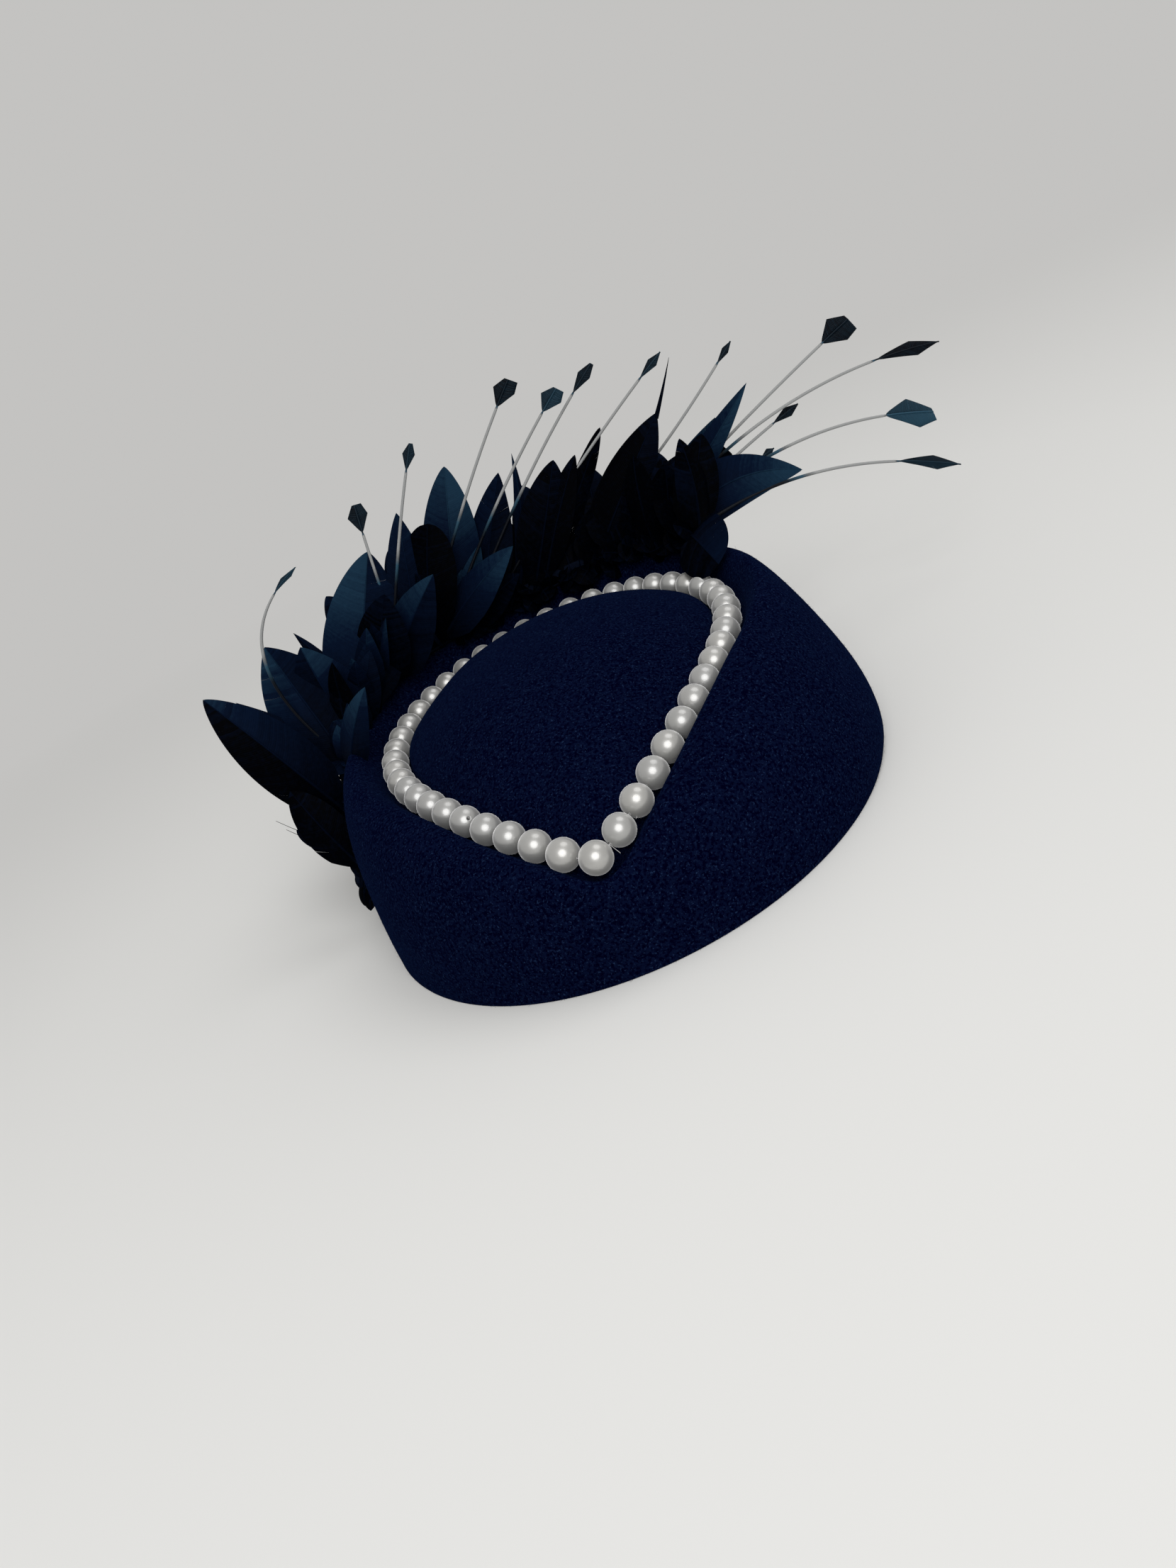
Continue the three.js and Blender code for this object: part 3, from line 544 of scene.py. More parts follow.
def kite_outline(u, end):
    """Half width of a trimmed vane: straight out to the belly, then straight in to its cut end's width."""
    belly = QUILL.belly
    u = np.clip(u, 0, 1)
    return np.where(u < belly, u / belly, mix(1.0, end, (u - belly) / (1 - belly)))


def add_barbs(body, shaft, across, face, half, outline, count, rng, tones, start=0.0, loose=1.0):
    """Barbs of both sides of a vane. Each barb runs from the shaft at one share to the outline further on,
    as powers of its own length, between two neighbouring lines; it is a thin lens with a low ridge. Clumps
    of barbs share a small lift and tone, scaled by loose, and painted shade darkens the barbs towards the
    root."""
    steps = np.linspace(0, 1, BARB.segments + 1)
    lines = (np.arange(count)[:, None] + np.array([[0.0, 1.0]])) / count
    root = start + (1 - start) * (BARB.root + (1 - BARB.root) * lines)
    for side, tone in zip((1, -1), tones):
        clump = np.cumsum(rng.random(count) < 1 / BARB.clump)
        lift = rng.normal(0, loose * BARB.clump_lift, count + 1)[clump]
        end = root + BARB.sweep * (1 - root)
        along = root[..., None] + (end - root)[..., None] * steps ** BARB.along_power
        wide = outline((end - start) / (1 - start), side)[..., None] * steps ** BARB.out_power
        raised = BARB.cup * half * wide**2 + lift[:, None, None] * steps**2 * wide
        points = shaft(along) + across * (side * half * wide)[..., None] - face * raised[..., None]
        low, high = points[:, 0], points[:, 1]
        middle = (low + high) / 2
        ridge = face * BARB.ridge
        ring = np.stack([low, middle + ridge, high, middle - ridge], axis=2)
        size = 4 * len(steps)
        caps = np.stack([np.arange(4)[::-1], np.arange(size - 4, size)])
        quads = np.concatenate([grid_faces(len(steps), 4), caps])
        if side > 0:
            quads = quads[:, ::-1]
        every = (np.arange(count) * size)[:, None, None] + quads
        shade = tone + rng.normal(0, BARB.uneven, count)
        shade = shade + rng.normal(0, loose * BARB.clump_tone, count + 1)[clump]
        # painted shade: the tone falls towards the root of the vane
        shade = shade[:, None] * mix(BARB.root_tone, 1.0, along.mean(axis=1) ** BARB.tone_power)
        body.add(ring, every, tone=np.repeat(np.clip(shade, 0, 1), 4, axis=1).ravel())


def row_ends(row, off):
    """Where a table's feather leaves the band, so far off the felt, and its tip."""
    seat, _along, normal, _out = band_frame(row.share)
    return seat + normal * off, np.array((row.x, row.y, row.z), dtype=float)


def add_feather(body, row, rng):
    """One leaf feather: a tapered shaft on a bowed line from band to tip, with barbs on both sides."""
    base, tip = row_ends(row, STRIP.clear + STRIP.thick / 2)
    axis = unit(tip - base)
    across = unit(np.cross(axis, turned(FEATHER_FACE, axis, row.roll)))
    face = np.cross(across, axis)
    bend = (base + tip) / 2 + face * 2 * row.bow + np.array((0, 0, 2 * row.rise))

    def shaft(u):
        return bezier(base, bend, tip, u)

    def outline(u, _side):
        return leaf_outline(u, row.tip)

    count = int(np.linalg.norm(tip - base) / BARB.spacing)
    # painted sheen on one half of the vane and painted shade on the other
    tones = row.tone + row.split, row.tone - row.split
    add_barbs(body, shaft, across, face, row.width / 2, outline, count, rng, tones)
    along = np.linspace(0, SHAFT.end, SHAFT.stations)
    radius = mix(SHAFT.base, SHAFT.tip, along)
    # painted shade on the shaft as well: darker towards the root
    tone = row.tone * mix(BARB.root_tone, 1.0, along ** BARB.tone_power) + SHAFT.paler
    add_tube(body, shaft(along), across, face, radius, SHAFT.sides, tone=np.minimum(tone, 1))


def add_strand(body, start, end, radius):
    """One loose strand: a thin tapered tube from start to end that sags a little from the straight line."""
    along = np.linspace(0, 1, STRAND.stations)
    start, end = np.array((start, end), dtype=float)
    path = bezier(start, (start + end) / 2 + np.array(STRAND.sag), end, along)
    across = unit(np.cross(end - start, FEATHER_FACE))
    face = unit(np.cross(across, end - start))
    add_tube(body, path, across, face, mix(radius, STRAND.tip, along), STRAND.sides, tone=STRAND.tone)


def back_rows():
    """Rows of the leaves behind, spread evenly along the band: level out from the felt and up in an arch."""
    share = np.linspace(BACK_ROW.first, BACK_ROW.last, BACK_ROW.count)
    seat, _along, _normal, out = band_frame(share)
    level = seat[:, :2] + out * BACK_ROW.out
    z = seat[:, 2] + BACK_ROW.rise + BACK_ROW.arch * np.sin(np.pi * share)
    roll = mix(BACK_ROW.roll_from, BACK_ROW.roll_to, share)
    fixed = (BACK_ROW.tone, BACK_ROW.tip, BACK_ROW.bow, 0.0, 0.0)
    return [
        named(FEATHER_COLUMNS, (s, x, y, h, BACK_ROW.width, r, *fixed))
        for s, (x, y), h, r in zip(share, level, z, roll)
    ]


def cover_rows(name, rng):
    """Rows of one kind of covering leaf, spread along the band, each turned off the felt, out and along by
    random shares."""
    kind = named(COVER_COLUMNS, COVERS[name])
    count = kind.count
    share = np.linspace(kind.first, kind.last, count)
    seat, along, normal, out = band_frame(share)
    level = np.concatenate([out, np.zeros((count, 1))], axis=1)
    off, lean, slant = (rng.uniform(*way, (count, 1)) for way in (kind.off, kind.lean, kind.slant))
    way = normal * off + level * lean + along * slant + np.array((0, 0, kind.upright))
    tip = seat + unit(way) * rng.uniform(*kind.length, (count, 1))
    width = rng.uniform(*kind.width, count)
    roll = rng.uniform(-COVER_ROLL, COVER_ROLL, count)
    is_blue = (share >= COVER_TONE.change) & (share < COVER_TONE.end)
    mean = np.where(is_blue, COVER_TONE.blue, COVER_TONE.black)
    tone = np.clip(mean + mean / COVER_TONE.blue * rng.normal(0, COVER_TONE.spread, count), 0, 1)
    # painted sheen and shade: one half of the vane lighter, the other darker, by a random share of its tone
    split = tone * rng.uniform(-COVER_TONE.split, COVER_TONE.split, count)
    return [
        named(FEATHER_COLUMNS, (s, *p, w, r, t, kind.tip, kind.bow, d, 0.0))
        for s, p, w, r, t, d in zip(share, tip, width, roll, tone, split)
    ]


def add_quill(body, row, rng):
    """One quill: a thin tapered stem on a bowed line, with a trimmed vane of barbs at its end."""
    base, tip = row_ends(row, STRIP.clear + STRIP.thick + QUILL.clear)
    bend = (base + tip) / 2 + np.array((2 * row.sway, 0, 2 * row.bow))
    axis = unit(tip - base)
    across = unit(np.cross(axis, FEATHER_FACE))
    face = np.cross(across, axis)

    def shaft(u):
        return bezier(base, bend, tip, u)

    def outline(u, side):
        return kite_outline(u, row.square * (1 + side * QUILL.slant))

    along = np.linspace(0, 1, QUILL.stations)
    path = shaft(along)
    length = np.sum(np.linalg.norm(np.diff(path, axis=0), axis=1))
    start = 1 - row.vane_length / length
    on_vane = along > start
    radius = mix(QUILL.base, QUILL.tip, along) * np.where(on_vane, QUILL.vane_stem, 1.0)
    # the stem stays dark up to the pale start, partly dye and partly painted shade among the leaves, then
    # turns to pale horn
    pale_from = min(QUILL.pale_from, QUILL.pale_share * length)
    pale = QUILL.pale_tone * np.clip((along * length - pale_from) / QUILL.pale_over, 0, 1)
    add_tube(body, path, across, face, radius, QUILL.sides, tone=np.where(on_vane, row.tone, pale))
    half = row.vane_width / 2
    count = int(row.vane_length / QUILL.barb_spacing)
    tones = row.tone, row.tone * QUILL.darker_side
    add_barbs(body, shaft, across, face, half, outline, count, rng, tones, start, QUILL.loose)


class Finish:
    """A node material: adds nodes, joins sockets, and sets the shader's own sockets."""

    def __init__(self, name):
        self.material = bpy.data.materials.new(name)
        self.material.use_nodes = True
        self.tree = self.material.node_tree
        self.shader = self.tree.nodes["Principled BSDF"]

    def set(self, **sockets):
        """Set shader sockets by name, with an underscore for each space."""
        for name, value in sockets.items():
            self.shader.inputs[name.replace("_", " ")].default_value = value

    def add(self, kind, inputs=None, **settings):
        """New node whose inputs are joined to sockets or set to values."""
        node = self.tree.nodes.new(kind)
        for name, value in settings.items():
            setattr(node, name, value)
        for name, value in (inputs or {}).items():
            if isinstance(value, bpy.types.NodeSocket):
                self.tree.links.new(value, node.inputs[name])
            else:
                node.inputs[name].default_value = value
        return node

    def join(self, socket, name):
        self.tree.links.new(socket, self.shader.inputs[name])

    def place(self):
        return self.add("ShaderNodeTexCoord").outputs["Object"]

    def noise(self, place, scale, detail=3.0, roughness=0.5):
        inputs = {"Vector": place, "Scale": scale, "Detail": detail, "Roughness": roughness}
        return self.add("ShaderNodeTexNoise", inputs).outputs["Fac"]

    def ramp(self, factor, *stops):
        node = self.add("ShaderNodeValToRGB", {"Fac": factor})
        ramp = node.color_ramp
        while len(ramp.elements) < len(stops):
            ramp.elements.new(0.5)
        for element, (at, colour) in zip(ramp.elements, stops):
            element.position = at
            element.color = (*colour[:3], 1.0)
        return node.outputs["Color"]

    def blend(self, factor, a, b):
        a, b = (c if isinstance(c, bpy.types.NodeSocket) else (*c[:3], 1.0) for c in (a, b))
        return self.add("ShaderNodeMix", {0: factor, 6: a, 7: b}, data_type="RGBA").outputs[2]

    def value(self, name):
        return self.add("ShaderNodeAttribute", attribute_name=name).outputs["Fac"]

    def math(self, operation, *terms):
        return self.add("ShaderNodeMath", dict(enumerate(terms)), operation=operation).outputs[0]

    def bump(self, height, strength, distance):
        inputs = {"Height": height, "Strength": strength, "Distance": distance}
        self.join(self.add("ShaderNodeBump", inputs).outputs["Normal"], "Normal")


def felt_finish(settings):
    """Brushed wool felt: mottled dye, fine light fibre specks, a fibrous bump and a soft blue sheen."""
    felt = Finish("brushed_felt")
    place = felt.place()
    mottle = felt.noise(place, scale=55.0, detail=4.0)
    grain = felt.noise(place, scale=1050.0, detail=2.0, roughness=0.6)
    fibre = felt.noise(place, scale=1500.0, detail=2.0, roughness=0.7)
    specks = felt.ramp(fibre, (0.58, (0, 0, 0)), (0.74, (1, 1, 1)))
    cloudy = felt.math("MULTIPLY_ADD", mottle, 0.6, felt.math("MULTIPLY_ADD", grain, 6.4, -3.0))
    dye = felt.blend(cloudy, settings.dark, settings.light)
    felt.join(felt.blend(specks, dye, settings.fibre), "Base Color")
    felt.set(Roughness=0.95, Specular_IOR_Level=0.0, Sheen_Weight=settings.sheen, Sheen_Roughness=0.45)
    felt.set(Sheen_Tint=(*settings.sheen_tint, 1.0))
    felt.bump(grain, strength=0.6, distance=0.0006)
    return felt.material


def mottled_finish(name, low, high, scale, detail, bump=None, **sockets):
    """Plain finish: a noise between two colours, and where asked a bump of the same noise."""
    finish = Finish(name)
    noise = finish.noise(finish.place(), scale, detail)
    finish.join(finish.blend(noise, low, high), "Base Color")
    finish.set(**sockets)
    if bump:
        finish.bump(noise, **bump)
    return finish.material


def fibre_finish(settings):
    """Loose felt fibres: a lighter blue than the dye, varied from fibre to fibre."""
    return mottled_finish("felt_fibre", settings.light, settings.fibre, scale=400.0, detail=1.0,
                          Roughness=0.7, Specular_IOR_Level=0.05)


def thread_finish():
    """Clear nylon thread, faintly grey."""
    return mottled_finish("clear_thread", (0.5, 0.5, 0.5), (0.7, 0.7, 0.7), scale=800.0, detail=3.0,
                          Roughness=0.25, Alpha=0.6)


def band_finish(settings):
    """Dark ribbon that carries the feathers, with a fine uneven weave."""
    return mottled_finish("band_ribbon", settings.dark, settings.blue, scale=1200.0, detail=2.0,
                          bump=dict(strength=0.3, distance=0.0003), Roughness=0.85, Specular_IOR_Level=0.05)


def pearl_finish(settings):
    """Pearl lustre: silvery white that varies a little from bead to bead, under a clear glossy coat."""
    pearl = Finish("pearl_lustre")
    pearl.join(pearl.blend(pearl.value("tint"), settings.cool, settings.warm), "Base Color")
    pearl.set(Metallic=settings.metal, Roughness=0.36, Specular_IOR_Level=0.5)
    pearl.set(Coat_Weight=0.9, Coat_Roughness=0.03, Sheen_Weight=settings.sheen, Sheen_Roughness=0.4)
    return pearl.material


def feather_finish(settings):
    """Feather, near black to grey blue by its tone, which holds both dye and painted light and shade;
    mottled by a fine noise, silky.
    """
    feather = Finish("feather_dye_and_painted_light")
    mottle = feather.noise(feather.place(), scale=700.0, detail=2.0)
    tone = feather.math("MULTIPLY_ADD", mottle, 0.2, feather.value("tone"))
    stops = (0.1, settings.dark), (0.55, settings.blue), (1.0, settings.light)
    feather.join(feather.ramp(tone, *stops), "Base Color")
    feather.set(Roughness=0.45, Specular_IOR_Level=0.006)
    return feather.material


def quill_finish(settings):
    """Stripped quill: vane and low stem dark by the tone, from dye and, among the leaves, painted shade;
    grey horn where barbs are cut away.
    """
    quill = Finish("stripped_quill")
    mottle = quill.noise(quill.place(), scale=500.0)
    tone = quill.math("MULTIPLY_ADD", mottle, 0.16, quill.value("tone"))
    scaled = quill.math("MULTIPLY", tone, 0.5)
    vane = (0.04, settings.vane_dark), (0.54, settings.vane_light)
    horn = (0.75, settings.horn), (1.0, settings.horn_light)
    quill.join(quill.ramp(scaled, *vane, *horn), "Base Color")
    quill.set(Roughness=0.45, Specular_IOR_Level=0.1)
    return quill.material


def elastic_finish(settings):
    """Braided black elastic: fine ribs from one distorted wave, in the colour and the bump."""
    elastic = Finish("braided_elastic")
    inputs = {"Vector": elastic.place(), "Scale": 450.0, "Distortion": 2.0}
    wave = elastic.add("ShaderNodeTexWave", inputs).outputs["Fac"]
    elastic.join(elastic.blend(wave, settings.dark, settings.light), "Base Color")
    elastic.set(Roughness=0.75)
    elastic.bump(wave, strength=0.4, distance=0.0002)
    return elastic.material


def floor_finish(settings):
    """Pale plain floor that fades into the surroundings' own light far from the hat."""
    floor = Finish("pale_floor")
    floor.set(Base_Color=(*settings.floor, 1.0), Roughness=0.9, Specular_IOR_Level=0.1)
    far = floor.add("ShaderNodeVectorMath", {0: floor.place()}, operation="LENGTH").outputs["Value"]
    limits = {"Value": far, "From Min": FLOOR.fade_from, "From Max": FLOOR.fade_to}
    fade = floor.add("ShaderNodeMapRange", limits).outputs["Result"]
    light = {"Color": (*settings.surround, 1.0), "Strength": settings.surround_level}
    glow = floor.add("ShaderNodeEmission", light).outputs[0]
    both = floor.add("ShaderNodeMixShader", {0: fade, 1: floor.shader.outputs[0], 2: glow})
    floor.tree.links.new(both.outputs[0], floor.tree.nodes["Material Output"].inputs["Surface"])
    return floor.material


def colour(name, description, default):
    """Colour property in linear light."""
    return FloatVectorProperty(name=name, description=description, subtype="COLOR", size=3, min=0, max=1,
                               default=default)


def distance(name, description, default):
    """Length property in metres."""
    return FloatProperty(name=name, description=description, subtype="DISTANCE", unit="LENGTH", min=0,
                         precision=5, default=default)


def factor(name, description, default):
    """Share property from 0 to 1."""
    return FloatProperty(name=name, description=description, subtype="FACTOR", min=0, max=1, default=default)


def power(name, description, default):
    """Power property of a light in watts."""
    return FloatProperty(name=name, description=description, unit="POWER", min=0, default=default)


class HatFelt(bpy.types.PropertyGroup):
    """Sizes and colours of the felt and its loose fibres"""

    wall: distance("Wall", "Thickness of the felt", 0.0022)
    edge_round: distance("Edge rounding", "Radius at the cut edge of the rim", 0.0005)
    wave: distance("Hand wave", "Height of the soft waves left by hand blocking", 0.0002)
    fibres: IntProperty(name="Fibres", description="Loose fibres on the surface", default=15000, min=0)
    fibre_length: distance("Fibre length", "Mean length of a loose fibre", 0.0009)
    fibre_width: distance("Fibre width", "Thickness of a loose fibre", 0.00004)
    dark: colour("Dark dye", "Felt colour in the denser patches", (0.0002, 0.0002, 0.0062))
    light: colour("Light dye", "Felt colour in the looser patches", (0.0016, 0.0034, 0.0160))
    fibre: colour("Fibre", "Colour of fine light fibres", (0.0095, 0.0205, 0.0560))
    sheen: factor("Sheen", "Strength of the nap's sheen", 0.02)
    sheen_tint: colour("Sheen tint", "Colour of the nap's sheen", (0.1, 0.25, 0.8))


class HatPearls(bpy.types.PropertyGroup):
    """Sizes and colours of the pearl string"""

    count: IntProperty(name="Pearls", description="Pearls on the string", default=46, min=3)
    diameter: distance("Diameter", "Diameter of a pearl", 0.010)
    hole: distance("Hole", "Diameter of the drilled hole", 0.0012)
    thread: distance("Thread", "Diameter of the thread", 0.0005)
    thread_end: distance("Thread ends", "Diameter of the cut ends of the thread", 0.0002)
    cool: colour("Cool white", "Coolest pearl colour", (0.335, 0.335, 0.33))
    warm: colour("Warm white", "Warmest pearl colour", (0.385, 0.38, 0.365))
    metal: factor("Lustre", "Metallic share of the lustre", 0.5)
    sheen: factor("Edge light", "Strength of the pale edge of a pearl", 1.0)


class HatFeathers(bpy.types.PropertyGroup):
    """Seed and colours of the leaf feathers"""

    seed: IntProperty(name="Seed", description="Seed of the splits and the short leaves", default=7)
    dark: colour("Dark dye", "Colour of the darkest feathers", (0.0002, 0.0003, 0.0008))
    blue: colour("Blue dye", "Colour of the mid-blue feathers", (0.0016, 0.0048, 0.0155))
    # the light end also stands for painted light and sheen on the lit leaves
    light: colour("Light dye", "Colour where the dye took least", (0.0078, 0.0240, 0.0455))


class HatQuills(bpy.types.PropertyGroup):
    """Seed and colours of the quills"""

    seed: IntProperty(name="Seed", description="Seed of the vanes' splits", default=11)
    horn: colour("Horn", "Colour of the bare stem", (0.12, 0.125, 0.13))
    horn_light: colour("Light horn", "Colour of the paler streaks of the stem", (0.26, 0.265, 0.265))
    vane_dark: colour("Dark vane", "Colour of the darkest vanes", (0.0008, 0.0015, 0.004))
    vane_light: colour("Light vane", "Colour of the lightest vane", (0.02, 0.06, 0.095))


class HatElastic(bpy.types.PropertyGroup):
    """Size and colours of the head elastic"""

    diameter: distance("Diameter", "Diameter of the elastic", 0.002)
    length: distance("Length", "Length of the elastic from felt to felt", 0.311)
    dark: colour("Dark", "Colour between the ribs", (0.003, 0.003, 0.004))
    light: colour("Light", "Colour on the ribs", (0.012, 0.012, 0.014))


class HatStage(bpy.types.PropertyGroup):
    """Lens of the camera, floor, lights and surroundings"""

    lens: FloatProperty(name="Lens", description="Focal length of the camera in millimetres", unit="CAMERA",
                        min=1, default=25.0)
    floor: colour("Floor", "Colour of the floor", (0.66, 0.66, 0.65))
    surround: colour("Surround", "Colour of the light all round", (1.0, 0.99, 0.97))
    surround_level: FloatProperty(name="Surround level", description="Strength of the light all round",
                                  min=0, default=0.55)
    front_power: power("Front light", "Power of the light by the camera", 16.0)
    top_power: power("Top light", "Power of the soft light above", 9.0)


def turned_to(place, right, up, back):
    """Matrix of an object at a place whose x, y and z axes point right, up and back."""
    return Matrix.Translation(place) @ Matrix(np.stack([right, up, back], axis=1).tolist()).to_4x4()


class HAT_OT_stage(bpy.types.Operator):
    """Set the camera, the pale floor, the soft lights and the surroundings"""

    bl_idname = "hat.stage"
    bl_label = "Stage"

    def execute(self, context):
        scene = context.scene
        settings = scene.hat_stage
        camera = bpy.data.objects.new("camera", bpy.data.cameras.new("camera"))
        scene.collection.objects.link(camera)
        place = to_metres(CAMERA["place"])
        right, down, forward = (np.array(CAMERA[name]) for name in ("right", "down", "forward"))
        camera.matrix_world = turned_to(place, right, -down, -forward)
        camera.data.lens = settings.lens
        camera.data.sensor_width = SENSOR_WIDTH
        camera.data.clip_start, camera.data.clip_end = CLIP
        camera.data.dof.use_dof = False
        scene.camera = camera
        floor = self.floor(settings)
        front = place + np.array(FRONT_LIGHT.off_camera)
        self.light("front_light", FRONT_LIGHT.size, settings.front_power, front)
        self.light("top_light", TOP_LIGHT.size, settings.top_power, np.array(TOP_LIGHT.place))
        world = bpy.data.worlds.new("surround")
        world.use_nodes = True
        back = world.node_tree.nodes["Background"]
        back.inputs["Color"].default_value = (*settings.surround, 1.0)
        back.inputs["Strength"].default_value = settings.surround_level
        scene.world = world
        scene.view_settings.view_transform = "Standard"
        return {"FINISHED"}

    def floor(self, settings):
        """Flat disc whose radius grows ring by ring, centred under the hat."""
        sides = FLOOR.sides
        turn = 2 * np.pi * np.arange(sides) / sides
        radius = np.array(FLOOR.radii)[:, None]
        rings = np.stack([radius * np.cos(turn), radius * np.sin(turn), 0 * radius * turn], axis=-1)
        points = np.concatenate([rings.reshape(-1, 3), [(0, 0, 0)]])
        i = np.arange(sides)
        hub = np.stack([i, (i + 1) % sides, np.full(sides, len(points) - 1)], axis=-1)
        quads = grid_faces(len(radius), sides)[:, ::-1]
        mesh = bpy.data.meshes.new("floor")
        mesh.from_pydata(points.tolist(), [], quads.tolist() + hub.tolist())
        mesh.materials.append(floor_finish(settings))
        floor = bpy.data.objects.new("floor", mesh)
        bpy.context.scene.collection.objects.link(floor)
        return floor

    def light(self, name, size, watts, place):
        """Round area light of that size that faces the middle of the hat."""
        data = bpy.data.lights.new(name, "AREA")
        data.shape = "DISK"
        data.size = size
        data.energy = watts
        lamp = bpy.data.objects.new(name, data)
        bpy.context.scene.collection.objects.link(lamp)
        back = unit(place - to_metres(LIGHT_AIM))
        side = unit(np.cross(UP, back))
        lamp.matrix_world = turned_to(place, side, np.cross(back, side), back)
        lamp.visible_camera = False


class HAT_OT_elastic(bpy.types.Operator):
    """Lay the head elastic on the surface inside the hat"""

    bl_idname = "hat.elastic"
    bl_label = "Head elastic"

    def execute(self, context):
        settings = context.scene.hat_elastic
        path = self.route()
        radius = settings.diameter / 2 / MM
        along = unit(np.gradient(path, axis=0))
        side = unit(np.cross(along, UP))
        body = Body()
        add_tube(body, path, side, np.cross(side, along), radius, ELASTIC_TUBE.sides)
        finish = elastic_finish(settings)
        piece = body.piece("head_elastic_cord", finish, "elastic", replaces=["head_elastic"])
        return {"FINISHED"}

    def route(self):
        """Route of the elastic: one end down from the felt, half an oval on the surface, the other end."""
        turn = np.pi * np.arange(1, ELASTIC_OVAL.arcs) / ELASTIC_OVAL.arcs
        x = ELASTIC_OVAL.half_width * np.cos(turn)
        y = ELASTIC_OVAL.centre_y + ELASTIC_OVAL.back * np.sin(turn)
        oval = np.stack([x, y, np.full_like(x, ELASTIC_OVAL.floor)], axis=-1)
        end = np.stack([ELASTIC_END[name] for name in ("out", "y", "z")], axis=-1)
        right = end + np.outer(ELASTIC_END["belly"], (1, 0, 0))
        keys = np.concatenate([right, oval, end[::-1] * np.array((-1, 1, 1))])
        keys[:, 0] += RIM.centre_x
        path = refine_rows(keys[:, None], ELASTIC_TUBE.step)[:, 0]
        path[:, 2] = np.maximum(path[:, 2], ELASTIC_OVAL.floor)
        return path


def felt_surface(settings):
    """Outer rows of the felt shell and their normals, moved along the normal by soft waves: the sum of two
    products of sines, along x and y and along their slope and z, that fades out at the rim."""
    at = np.arange(CROWN.columns) / CROWN.columns
    rows = refine_rows(crown_rings(at), CROWN.step)
    normals = grid_normals(rows)
    x, y, z = np.moveaxis(rows, -1, 0)
    wave = np.sin(x / WAVE.x + WAVE.x_phase) * np.sin(y / WAVE.y + WAVE.y_phase)
    wave = wave + WAVE.share * np.sin((x + y) / WAVE.slope) * np.sin(z / WAVE.z + WAVE.z_phase)
    fade = np.clip(z / WAVE.fade, 0, 1)
    return rows + normals * (wave * fade * settings.wave / MM)[..., None], normals


class HAT_OT_felt(bpy.types.Operator):
    """Make the blocked felt shell with its groove, lip, dome and cut rim"""

    bl_idname = "hat.felt"
    bl_label = "Felt crown"

    def execute(self, context):
        settings = context.scene.hat_felt
        wall = settings.wall / MM
        rows, normals = felt_surface(settings)
        inwards = unit(normals[0] * np.array((-1, -1, 0)))
        skip = CROWN.inner_skip
        inner = (rows - normals * wall)[skip::skip]
        inner[-1] = rows[-1] - normals[-1] * wall
        soft = settings.edge_round / MM
        rim = rows[0] * np.array((1, 1, 0))
        bevel = CROWN.bevel * soft
        edge = [(0.0, soft), (bevel, bevel), (soft, 0.0)]
        edge = edge + [(wall - inset, z) for inset, z in edge[::-1]]
        hem = np.stack([rim + inwards * inset + np.array((0, 0, z)) for inset, z in edge])
        stack = np.concatenate([inner[::-1], hem[::-1], rows[1:]])
        points = np.concatenate([stack[1:-1].reshape(-1, 3), stack[0, :1], stack[-1, :1]])
        body = Body()
        body.add(points, *closed_faces(len(stack) - 2, stack.shape[1]))
        body.piece("felt_shell", felt_finish(settings), "felt", replaces=["felt_crown"])
        return {"FINISHED"}


class HAT_OT_fibres(bpy.types.Operator):
    """Scatter short loose fibres over the felt"""

    bl_idname = "hat.fibres"
    bl_label = "Felt fibres"

    def execute(self, context):
        settings = context.scene.hat_felt
        rng = np.random.default_rng(FIBRE.seed)
        rows, normals = felt_surface(settings)
        count = settings.fibres
        root, normal = self.scatter(rows, normals, count, rng)
        half = settings.fibre_length / MM * rng.lognormal(0, FIBRE.spread, (count, 1)) / 2
        side = unit(np.cross(normal, rng.normal(size=(count, 3))))
        lift = rng.uniform(*FIBRE.lift, (count, 1))
        way = unit(side + normal * lift)
        middle = root + way * half
        curl = unit(np.cross(normal, side)) * rng.normal(0, FIBRE.curl, (count, 1))
        tip = middle + unit(way + curl - normal * lift * FIBRE.droop) * half
        width = settings.fibre_width / MM
        for joint in (root, middle, tip):
            joint[:, 2] = np.maximum(joint[:, 2], width)
        body = self.needles(root - normal * FIBRE.sink, middle, tip, width / 2)
        body.piece("felt_fibres", fibre_finish(settings), "felt")
        return {"FINISHED"}

    def scatter(self, rows, normals, count, rng):
        """Points spread evenly by area: a random cell of the grid by its area, and a random place in it."""
        beside = np.roll(rows, -1, axis=1)
        area = np.linalg.norm(np.cross(rows[1:] - beside[:-1], beside[1:] - rows[:-1]), axis=-1)
        cell = rng.choice(area.size, count, p=(area / area.sum()).ravel())
        r, c = np.unravel_index(cell, area.shape)
        u, v = rng.random((2, count, 1))
        low = mix(rows[r, c], beside[r, c], u)
        high = mix(rows[r + 1, c], beside[r + 1, c], u)
        return mix(low, high, v), normals[r, c]

    def needles(self, root, middle, tip, half):
        """Three-sided needles bent at the middle: a triangle at the root, one at the middle, and the tip."""
        body = Body()
        along = unit(middle - root)
        across = unit(np.cross(along, FIBRE.aside))
        face = np.cross(along, across)
        turn = 2 * np.pi * np.arange(3) / 3
        ring = across[:, None] * np.cos(turn)[:, None] + face[:, None] * np.sin(turn)[:, None]
        ring = ring * half
        points = np.concatenate([root[:, None] + ring, middle[:, None] + ring, tip[:, None]], axis=1)
        start = (points.shape[1] * np.arange(len(root)))[:, None, None]
        sides = np.array([(0, 1, 4, 3), (1, 2, 5, 4), (2, 0, 3, 5)])
        ends = np.array([(3, 4, 6), (4, 5, 6), (5, 3, 6), (2, 1, 0)])
        body.add(points, start + sides, start + ends)
        return body


